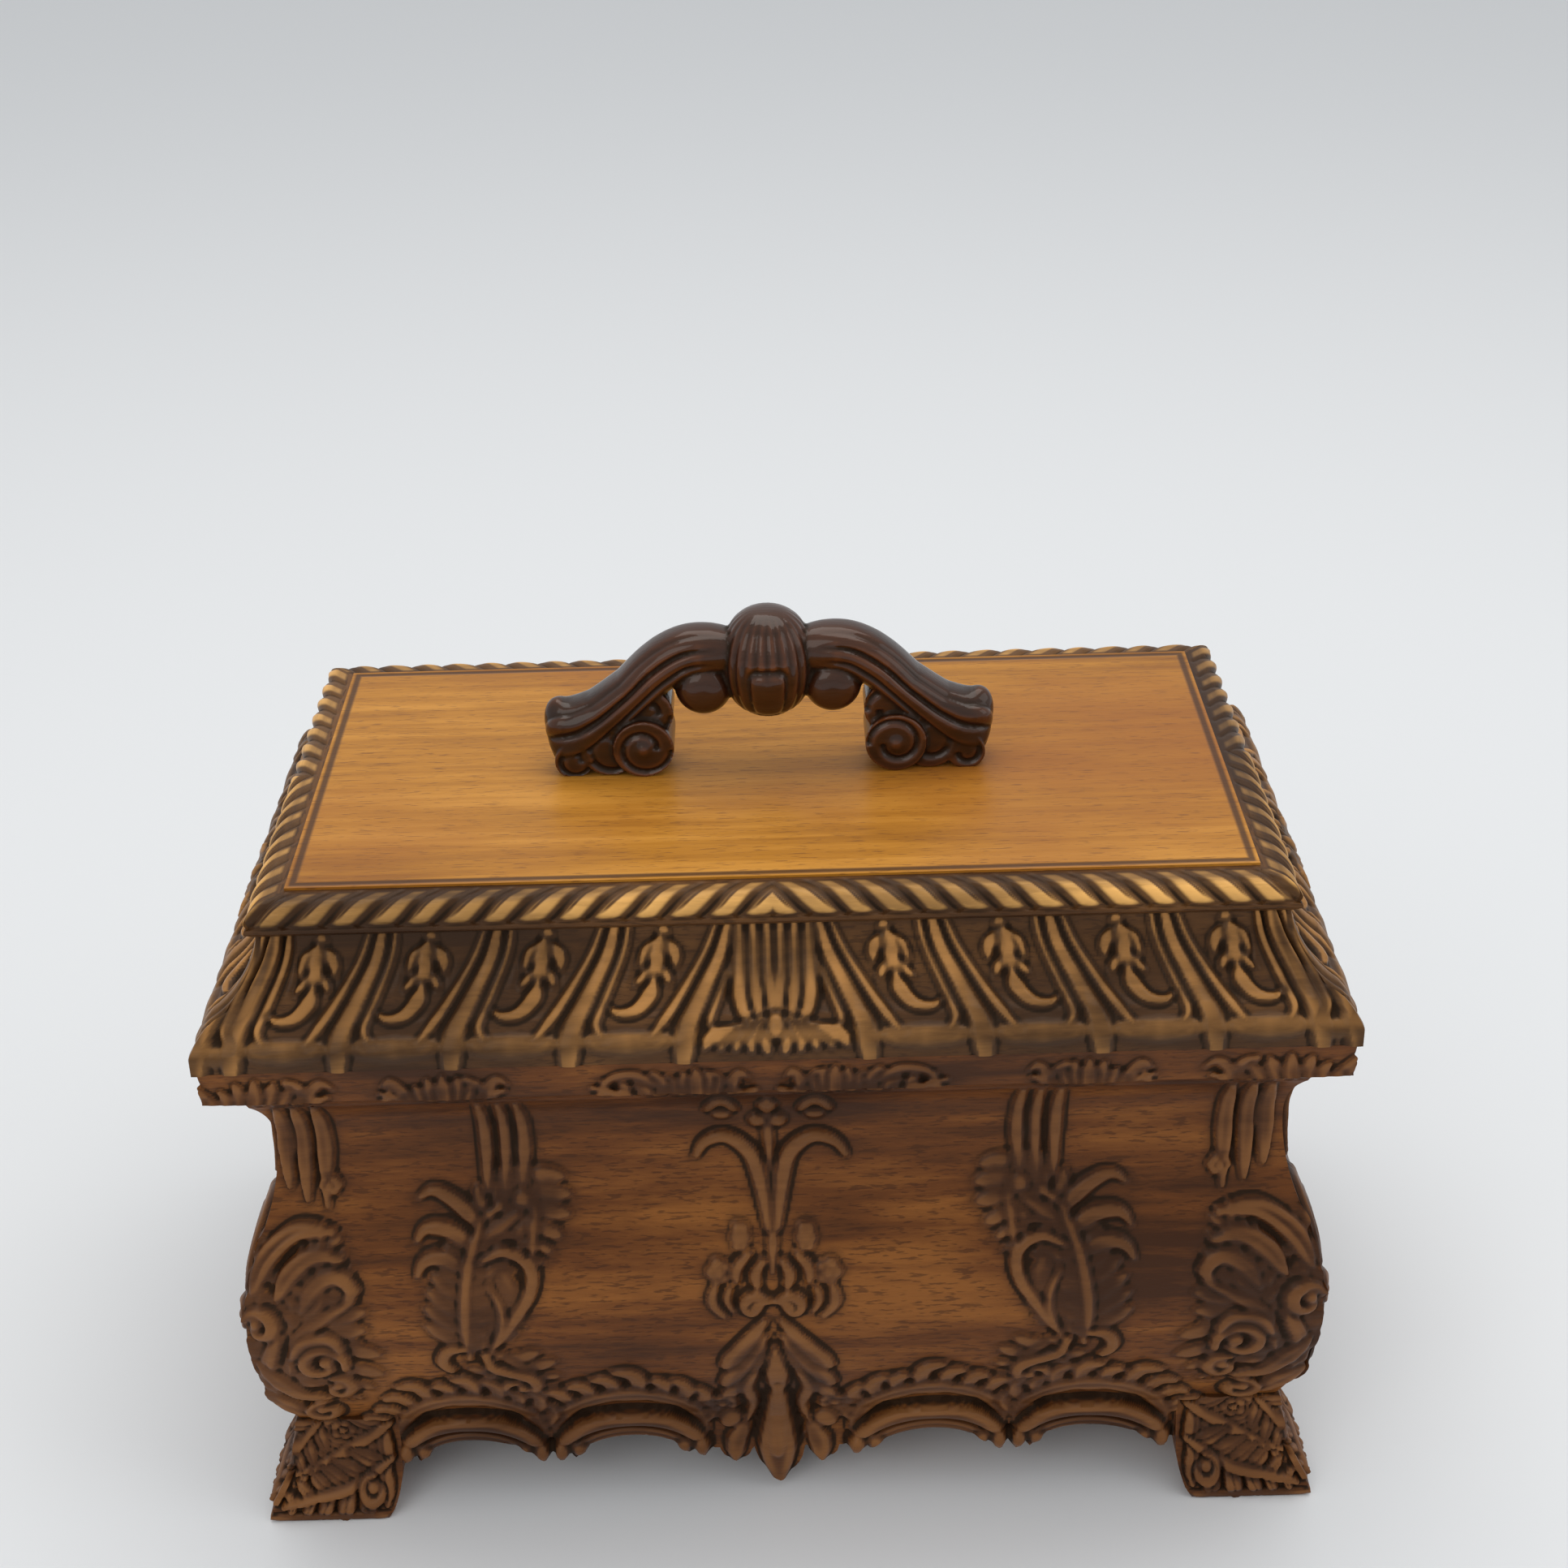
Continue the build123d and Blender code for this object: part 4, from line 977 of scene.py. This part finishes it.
# Two brass butt hinges, let in between the back rim and the lid. Three countersunk screws
# hold each leaf, and only their slotted heads show. The brass is aged to a satin.
brass = Finish("aged_brass")
brass_cloud = brass.noise(brass.spot(), (90, 90, 90), 5.0, 0.6)
brass_scratch = brass.noise(brass.spot(), (60, 1800, 900), 3.0, 0.6)
brass_tone = brass.over(brass_cloud.between(0.35, 0.7), (0.30, 0.19, 0.07), (0.62, 0.45, 0.19))
# Painted shade: the floor of each screw slot is made near black and not metallic.
slot_shade = brass.mark("hollow_shade")
brass_tone = brass.over(slot_shade, brass_tone, (0.03, 0.02, 0.01))
brass.set(base_color=brass_tone, metallic=1 - slot_shade, roughness=0.28 + brass_cloud * 0.3)
brass.bump(brass_scratch, 0.15, 0.0002)
for hand in ("left", "right"):
    for part in ("body_leaf", "lid_leaf", "pin"):
        finish_node(f"hinge_{hand}_{part}", brass.material)

screw_places = [(-14, 8), (0, 10), (14, 8)]
screw_radius, screw_thick, screw_proud = 2.9, 0.6, 0.1
slot_wide, slot_floor = 0.8, 0.03


def screw_heads(name, leaf, upward, slots):
    """The countersunk heads of one leaf, a hair proud of it, each with a shallow slot whose floor is painted
    dark as shade.

    upward says whether the leaf faces up, slots are the turns of the slots in degrees.
    """
    low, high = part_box(leaf)
    out = 1 if upward else -1
    level = (seam_height - out * seam_half) * MM
    heads = []
    for (across, deep), turn in zip(screw_places, slots):
        x, y = (low[0] + high[0]) / 2 + across * MM, (hinge_line - deep) * MM
        middle = level + out * (screw_proud - screw_thick / 2) * MM
        size = {"radius": screw_radius * MM, "depth": screw_thick * MM}
        bpy.ops.mesh.primitive_cylinder_add(vertices=48, **size, location=(x, y, middle))
        head = bpy.context.object
        above = level + out * (slot_floor + 0.5) * MM
        bpy.ops.mesh.primitive_cube_add(size=1, location=(x, y, above), rotation=(0, 0, radians(turn)))
        cutter = bpy.context.object
        cutter.scale = (8 * MM, slot_wide * MM, 1 * MM)
        pick([head])
        bpy.ops.object.modifier_add(type="BOOLEAN")
        head.modifiers[0].operation = "DIFFERENCE"
        head.modifiers[0].object = cutter
        bpy.ops.object.modifier_apply(modifier=head.modifiers[0].name)
        bpy.data.objects.remove(cutter)
        heads.append(head)
    pick(heads)
    bpy.ops.object.join()
    screws = bpy.context.object
    screws.name = name
    bpy.ops.object.transform_apply(location=True, rotation=True, scale=True)
    rise = (get_places(screws)[:, 2] - level) / MM * out
    # The slot floors are marked for painted shade.
    write_mark(screws, "hollow_shade", np.abs(rise - slot_floor) < 0.02)
    screws.data.materials.append(brass.material)
    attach(screws, "box" if upward else "lid")


for hand in ("left", "right"):
    screw_heads(f"screws_{hand}_body", f"hinge_{hand}_body_leaf", True, (20, 75, 130))
    screw_heads(f"screws_{hand}_lid", f"hinge_{hand}_lid_leaf", False, (60, 15, 100))


# The lid's sides: a deep cove of brown stained hardwood, mitred at the corners, carved with
# leaning ribs, a pillow and a husk between each two, and a fan of flutes in the middle. The
# crests are rubbed and carry a painted ochre highlight.
lid_bottom = 156.3
cove_top = 187.5
field_inset, field_band = 1.2, 4.7
pillow = (6.0, lid_bottom + 10.9)
cove_line = np.vstack([
    [(field_inset, lid_bottom)],
    round_line((field_inset, lid_bottom + field_band), pillow, (0.5, 1)),
    round_line((18.5, cove_top), pillow, (0, -1))[::-1],
])


def rib_feet(run, gaps):
    """Places of the ribs' feet on one half of a side: an even row, then a pair at the corner."""
    outer = run / 2 - 2.6
    pair = outer - 8.5
    first, last = 24, pair - 27.5
    return [first + k * (last - first) / gaps for k in range(gaps + 1)] + [pair, outer]


def carve_husk(stroke, middle):
    """A bud on a curled stem, between two ribs: petals open downwards from it."""
    def at(*points):
        return [(middle + across, up) for across, up in points]

    stroke(at((-2.6, 37), (-2.0, 33)), [1.0, 1.8, 1.2], 1.3, edge=0.5)
    for off in (-1, 1):
        petal = at((-1.6, 33.5), (-1.4 + off * 3.4, 29.5), (-0.6 + off * 4.6, 25.5))
        stroke(petal, [1.2, 2.0, 0.9], [1.4, 1.8, 1.3], rib=0.25, groove=0.5)
        petal = at((-0.6, 27), (off * 2.8, 23.5), (0.8 + off * 4.4, 21.5))
        stroke(petal, [1.0, 1.6, 0.8], [1.4, 1.7, 1.2], rib=0.25, groove=0.5)
    bud = at((-1.4, 34), (-0.6, 28), (0.6, 22))
    stroke(bud, [1.3, 2.2, 1.3], [1.6, 2.2, 1.7], rib=0.3, groove=0.6)
    tail = at((0.4, 22.5), (1.6, 18.5), (5.0, 14.6), (9.4, 13.8), (11.6, 15.4))
    stroke(tail, [1.5, 2.2, 2.0, 1.4, 0.8], 1.8, rib=0.25, groove=0.6)


def carve_rib(stroke, foot):
    """A leaning rib that widens to its foot, with a fine line on each side of it."""
    for gap in (-1, 1):
        places = ((8.6, 0.0, 7.5), (6.0, -0.8, 11.5), (4.6, -5.0, 20), (3.8, -10.0, 30), (3.2, -12.6, 38.5))
        line = [(foot + gap * apart + lean, up) for apart, lean, up in places]
        stroke(line, [1.2, 1.6, 1.5, 1.2, 1.0], 1.2, groove=0.5)
    leans = ((0.6, -2), (0.0, 4), (-1.0, 10), (-5.4, 20), (-10.2, 30), (-12.8, 40))
    line = [(foot + lean, up) for lean, up in leans]
    stroke(line, [3.4, 3.0, 2.7, 2.2, 1.9, 1.6], [1.1, 1.1, 1.6, 1.9, 1.9, 1.7], edge=0.5, groove=0.8)


def carve_cove(x, s, run):
    """Places are (along, distance up the section)."""
    fade = np.clip((run / 2 - np.abs(x)) / corner_calm, 0, 1)
    folded = np.abs(x + 0.6 * fade * np.sin(0.05 * x))
    relief = Relief(folded, s)
    stroke = relief.stroke
    feet = rib_feet(run, 3 if run > 200 else 1)
    gaps = list(zip([0.0, *feet], [*feet, feet[-1]]))
    for low, high in gaps[1:-1]:
        row = [(low + 3.4, 6.4), ((low + high) / 2, 5.6), (high - 3.4, 6.4)]
        stroke(row, [2.8, 3.8, 2.8], [0.8, 1.3, 0.8], edge=0.15, groove=0.05)
    for foot in feet:
        carve_rib(stroke, foot)
    for low, high in gaps[1:-2]:
        carve_husk(stroke, (low + high) / 2 - 7.5)
    for k, top in enumerate((1.2, 4.9, 8.6)):
        flute = [(1.2 + k * 2.2, 8), (top * 0.8 + k, 15), (top + 0.9, 25), (top + 0.6, 39)]
        stroke(flute, [1.5, 2.1, 2.0, 1.6], [1.7, 2.0, 1.6, 1.3], edge=0.4, groove=0.7)
    for k in range(5):
        root, tip = (0.8 + k * 2.6, 12.5 - 0.9 * k), (2.2 + k * 4.2, 2.0 + 0.5 * k)
        bend = ((root[0] + tip[0]) / 2 + 1.4, (root[1] + tip[1]) / 2 + 0.5)
        stroke([root, bend, tip], [1.2, 2.3, 1.2], [1.6, 2.0, 1.2], edge=0.5, rib=0.3, groove=0.6)
    relief.boss((0, 9.5), (2.2, 3.4), 2.3)
    height = relief.height * np.clip((39.4 - s) / 0.8, 0, 1)
    # Painted highlight: the raised ribs, more on their lower parts, and a band along the pillow low on the
    # cove.
    painted_highlight = np.clip((height - 1.1) / 0.8, 0, 1) * np.clip((34 - s) / 24, 0.1, 0.75)
    painted_highlight = np.maximum(painted_highlight, 0.5 * np.exp(-(((s - 7.0) / 3.4) ** 2)))
    # The upper part of the cove is made a little darker, through the carved mask.
    upper = 0.35 * np.clip((s - 10) / 6, 0, 1)
    return np.clip(height, -1.1, 3.0), np.maximum(relief.carved, upper), painted_highlight


lid_ground = [(0.034, 0.014, 0.006), (0.080, 0.033, 0.011), (0.15, 0.064, 0.019)]
lid_carving = [(0.042, 0.018, 0.007), (0.140, 0.064, 0.020)]
# Colour of the crests: rubbed wear with a painted ochre highlight.
lid_rubbed_and_lit = (0.50, 0.235, 0.068)
lid_wood = two_grains("lid_wood", lid_ground, lid_carving, lid_rubbed_and_lit)
for side in ("front", "right", "left"):
    run, reach, turn, grain, _ = sides[side]
    cove = moulding(f"carved_cove_{side}", run, reach, cove_line, carve_cove, wall_inset, pitch=0.6)
    stand(cove, turn, f"lid_cove_{side}", "lid", lid_wood[grain])
    clear_of_hinge(cove, 1)
finish_node("lid_cove_back", lid_wood["front"])


# The gadrooned edge: a round carved into slanting strands that turn about the middle of each
# side, with a bead under it. Glued round the edge of the top boards, mitred at the corners.
lid_top = 197.0
gadroon_flat = lid_top - 0.8
gadroon_line = np.vstack([
    [(17.1, cove_top), (15.3, 189.1), (15.3, 190.3), (16.2, 190.5), (16.2, 191.6)],
    round_line((16.2, 191.7), (21.7, gadroon_flat), (0.1, 1)),
    [(24.96, gadroon_flat + 0.1)],
])
strand_pitch, strand_lean = 9.6, 0.95
roll_low, roll_high = 4.2, 15.9


def carve_gadroon(x, s, run):
    """Places are (along, distance up the section). Each strand is a long drop, fullest low down."""
    phase = (np.abs(x) + 0.35 * np.sin(0.31 * x) + (s - 4.0) * strand_lean) / strand_pitch
    round_top = np.abs(np.sin(pi * phase)) ** 0.55
    vein = np.exp(-(((phase % 1.0 - 0.7) / 0.05) ** 2))
    on_roll = np.clip((s - roll_low) / 1.2, 0, 1) * np.clip(roll_high - s, 0, 1)
    swell = 0.6 + 0.6 * np.clip((11.0 - s) / 6.0, 0, 1)
    strand = (round_top * 2.5 - 1.5) * swell - 0.25 * vein
    mitre = np.exp(-(((run / 2 - 19 - np.abs(x)) / 2.0) ** 2))
    under_cut = 0.5 * np.exp(-(((s - 3.9) / 0.5) ** 2))
    height = strand * on_roll * (1 - 0.5 * mitre) - under_cut
    # Painted highlight along the crest of each strand, stronger low on the roll.
    painted_highlight = on_roll * np.clip((round_top - 0.62) / 0.3, 0, 1) * (1 - vein) * np.clip((17 - s) / 8, 0.55, 1)
    return np.minimum(height, 1.3), on_roll, painted_highlight


# Bright ochre for the edge's crests: rubbed wear with a painted highlight.
edge_rubbed_and_lit = (0.84, 0.45, 0.13)
edge_wood = two_grains("edge_wood", lid_ground, lid_carving, edge_rubbed_and_lit)
for side, (run, reach, turn, grain, _) in sides.items():
    edge = moulding(f"gadroon_edge_{side}", run, reach, gadroon_line, carve_gadroon, 25.0, pitch=0.45)
    stand(edge, turn, f"gadroon_{side}", "lid", edge_wood[grain])


# The top: two plain boards glued edge to edge, stained honey amber and varnished to a satin.
# A narrow dark line is stained round them, close inside the moulding.
top = Finish("top_wood")
top_spot = top.spot()
waves = top.noise(top_spot, (5, 34, 34), 4.0, 0.55, 0.6)
streak = top.noise(top_spot, (14, 260, 260), 6.0, 0.65, 0.25)
ticks = top.noise(top_spot, (190, 1900, 1900), 2.0)
cloud = top.noise(top_spot, (9, 13, 13), 3.0, 0.5)
honey = [(0.3, (0.22, 0.075, 0.010)), (0.5, (0.46, 0.190, 0.022)), (0.7, (0.66, 0.30, 0.050))]
top_tone = top.node("ShaderNodeValToRGB", stops=honey, inputs=[waves * 0.5 + streak * 0.5])
top_tone = top.over(cloud.between(0.42, 0.68) * 0.7, top_tone, (0.33, 0.11, 0.018))
top_tone = top.over(ticks.between(0.58, 0.68) * 0.55, top_tone, (0.14, 0.05, 0.016))


def stain_line(axis, reach):
    """1 on the two narrow lines at this distance from the middle, and 1 on all within them."""
    away = top.node("ShaderNodeSeparateXYZ", inputs=[top_spot], output=axis).maths("ABSOLUTE")
    within = 1 - away.between(reach + 0.0018, reach + 0.0028)
    return away.between(reach, reach + 0.001) * within, within


across, within_across = stain_line("X", 0.1218)
back, within_back = stain_line("Y", 0.0593)
line_share = (across * within_back).maths("MAXIMUM", back * within_across)
top_tone = top.over(line_share * 0.85, top_tone, (0.045, 0.016, 0.007))
top.set(base_color=top_tone, roughness=0.30 + streak * 0.12, coat_weight=0.05)
top.set(specular_ior_level=0.28, specular_tint=(1.0, 0.75, 0.5), coat_roughness=0.18)
top.bump(streak * 0.4 + ticks * 0.5 - line_share * 1.5, 0.2, 0.0004)
finish_node("top_board_front", top.material)
finish_node("top_board_back", top.material)


# The handle: one carved block, a ribbed knob between two arms that sweep down to leaf tails.
# Round rolls sit beside the knob under the arms, and scrolled heels stand on the lid. The
# wood is stained dark red brown and varnished to a gloss, and screws hold it from below.
handle_voxel = 0.00045


def blob(name, segments, rings, shape):
    """A closed round piece: shape turns the angle from one pole and the angle around into mm."""
    bpy.ops.object.select_all(action="DESELECT")
    bpy.ops.mesh.primitive_uv_sphere_add(segments=segments, ring_count=rings, radius=1)
    piece = bpy.context.object
    piece.name = name
    places = get_places(piece)
    polar = np.arccos(np.clip(places[:, 2], -1, 1))
    around = np.arctan2(places[:, 1], places[:, 0])
    set_places(piece, shape(polar, around) * MM)
    return piece


knob_half_wide, knob_half_tall, knob_level = 12.9, 15.5, 31.1


def knob_shape(polar, around):
    """Fluted all round except for a smooth oval shield, low on the front and back."""
    shield = np.exp(-((np.abs(np.abs(around) - pi / 2) / 0.46) ** 6 + ((polar - 2.05) / 0.62) ** 6))
    flutes = -0.5 * np.abs(np.cos(12 * around)) ** 3 * np.sin(polar) ** 0.5 * (1 - shield)
    rim = -1.1 * np.exp(-(((shield - 0.5) / 0.22) ** 2))
    collar = -0.6 * np.exp(-(((polar - 2.62) / 0.06) ** 2))
    grow = 1 + (flutes + rim + collar + 0.35 * shield) / 11.5
    wide = knob_half_wide * np.sin(polar) ** 0.8 * grow
    up = lid_top + knob_level + knob_half_tall * np.cos(polar)
    return np.stack([wide * np.cos(around), wide * np.sin(around), up], 1)


arm_points = [(6, 33), (14, 34.8), (22, 34.4), (30, 29.8), (38, 22.4), (46, 15.6), (53, 11.4), (61.4, 9.8)]
arm_way, arm_heading, arm_share = smooth_way(arm_points)
arm_tall = ([0, 0.15, 0.35, 0.55, 0.72, 0.88, 1], [5.8, 6.8, 7.0, 6.4, 7.4, 10.2, 11.6])
arm_deep = ([0, 0.2, 0.5, 0.8, 1], [5.8, 7.6, 8.2, 8.2, 7.4])


def arm_shape(hand):
    """A thick arm along its curve, with gouge lines that run with it and a lobed tail."""
    def shape(polar, around):
        share = polar / pi
        index = np.clip((share * (len(arm_way) - 1)).astype(int), 0, len(arm_way) - 1)
        centre = np.stack([np.interp(share, arm_share, arm_way[:, k]) for k in (0, 1)], 1)
        ahead = arm_heading[index]
        ends = np.sqrt(np.clip(1 - np.abs(2 * share - 1) ** 14, 0, 1))
        tall = np.interp(share, *arm_tall) * ends
        deep = np.interp(share, *arm_deep) * ends
        run_out = np.clip((share - 0.12) / 0.15, 0, 1)
        cut = np.zeros_like(polar)
        for angle, depth in ((0.55, 0.5), (1.2, 1.5), (1.85, 1.3)):
            lean = angle * (1 + 0.15 * share)
            cut += depth * np.exp(-(((np.abs(around) - lean) / 0.11) ** 2))
        scale = 1 - run_out * cut / 8.0
        scale += 0.10 * np.clip((share - 0.8) / 0.2, 0, 1) * np.cos(6 * around)
        up = tall * scale * np.cos(around)
        side = deep * scale * np.sign(np.sin(around)) * np.abs(np.sin(around)) ** 0.8
        x = centre[:, 0] - ahead[:, 1] * up
        z = centre[:, 1] + ahead[:, 0] * up
        x = np.minimum(x, 62.6 - 0.5 * np.maximum(9 - z, 0))
        return np.stack([hand * x, side, lid_top + np.maximum(z, 0.0)], 1)
    return shape


def scroll_shape(hand, middle, radius, half, eye):
    """A short drum across the handle with a spiral groove on each face."""
    shoulder, face_turn = radians(62), radians(28)

    def shape(polar, around):
        pole = np.minimum(polar, pi - polar)
        reach = radius * np.clip(np.sin(pole) / sin(shoulder), 0, 1)
        face = np.clip((pole - shoulder) / face_turn, 0, 1)
        across = half * (1 - face ** 1.6)
        turn = ((around * hand + pi) % (2 * pi)) / (2 * pi)
        groove = np.exp(-(((reach - radius * (0.42 + 0.5 * turn)) / 0.75) ** 2))
        across = across - 1.1 * groove * (face < 0.01) + eye * np.exp(-((reach / 1.8) ** 2))
        x = hand * (middle[0] + reach * np.cos(around))
        y = np.where(polar < pi / 2, across, -across)
        return np.stack([x, y, lid_top + np.maximum(middle[1] + reach * np.sin(around), 0.0)], 1)
    return shape


roll_place, roll_level, roll_radius, roll_half = 17.6, 24.6, 8.1, 7.9


def roll_shape(hand):
    """The round roll under one arm, beside the knob, its axis across the handle."""
    def shape(polar, around):
        reach = roll_radius * np.sin(polar) ** 0.6
        x = hand * (roll_place + reach * np.cos(around))
        y = roll_half * np.cos(polar)
        return np.stack([x, y, lid_top + roll_level + reach * np.sin(around)], 1)
    return shape


def mark_shape(piece, rounds, full):
    """Painted shade in the hollows, and rubbed wear with painted highlight on the crests, for a piece with no
    grid: how far each vertex lies from its neighbours.
    """
    places = get_places(piece) / MM
    pairs = np.empty(len(piece.data.edges) * 2, np.int32)
    piece.data.edges.foreach_get("vertices", pairs)
    first, second = pairs.reshape(-1, 2).T
    links = np.bincount(np.concatenate([first, second]), minlength=len(places))[:, None]
    level = places
    for _ in range(rounds):
        total = np.zeros_like(places)
        for k in range(3):
            total[:, k] += np.bincount(first, level[second, k], len(places))
            total[:, k] += np.bincount(second, level[first, k], len(places))
        level = 0.5 * level + 0.5 * total / np.maximum(links, 1)
    normals = np.empty(len(places) * 3, np.float32)
    piece.data.vertices.foreach_get("normal", normals)
    depth = ((level - places) * normals.reshape(-1, 3)).sum(1)
    write_mark(piece, "hollow_shade", np.clip(depth / full, 0, 1))
    write_mark(piece, "crest_rub_and_highlight", np.clip(-depth / full, 0, 1))
    write_mark(piece, "carved", np.ones(len(places)))


# Name, segments, rings, place of the axis, radius, half width and how far the eye stands out.
drums = [
    ("handle_heel", 96, 72, (34.6, 8.4), 8.4, 8.1, 1.0),
    ("handle_web", 48, 32, (44.0, 8.0), 7.8, 6.9, 0.0),
    ("handle_throat", 48, 32, (33.4, 18.0), 7.4, 6.0, 0.0),
    ("handle_toe", 48, 32, (54.0, 4.6), 5.2, 7.0, 0.0),
]
blobs = [blob("handle_knob", 192, 96, knob_shape)]
for hand in (-1, 1):
    blobs.append(blob("handle_arm", 128, 160, arm_shape(hand)))
    for name, segments, rings, *sizes in drums:
        blobs.append(blob(name, segments, rings, scroll_shape(hand, *sizes)))
    blobs.append(blob("handle_roll", 64, 48, roll_shape(hand)))
pick(blobs)
bpy.ops.object.join()
handle = bpy.context.object
handle.name = "carved_handle"
bpy.ops.object.modifier_add(type="REMESH")
handle.modifiers[0].mode = "VOXEL"
handle.modifiers[0].voxel_size = handle_voxel
bpy.ops.object.modifier_apply(modifier=handle.modifiers[0].name)
mark_shape(handle, 14, 0.22)
handle_ground = [(0.014, 0.004, 0.002), (0.036, 0.010, 0.004), (0.075, 0.021, 0.007)]
handle_carving = [(0.017, 0.005, 0.002), (0.054, 0.015, 0.005)]
# Colour of the crests: rubbed wear with a painted highlight.
handle_rubbed_and_lit = (0.12, 0.036, 0.011)
handle_wood = carved_wood("handle_wood", 0, handle_ground, handle_carving, handle_rubbed_and_lit, 0.6, 0.08)
stand(handle, 0, "handle", "lid", handle_wood)
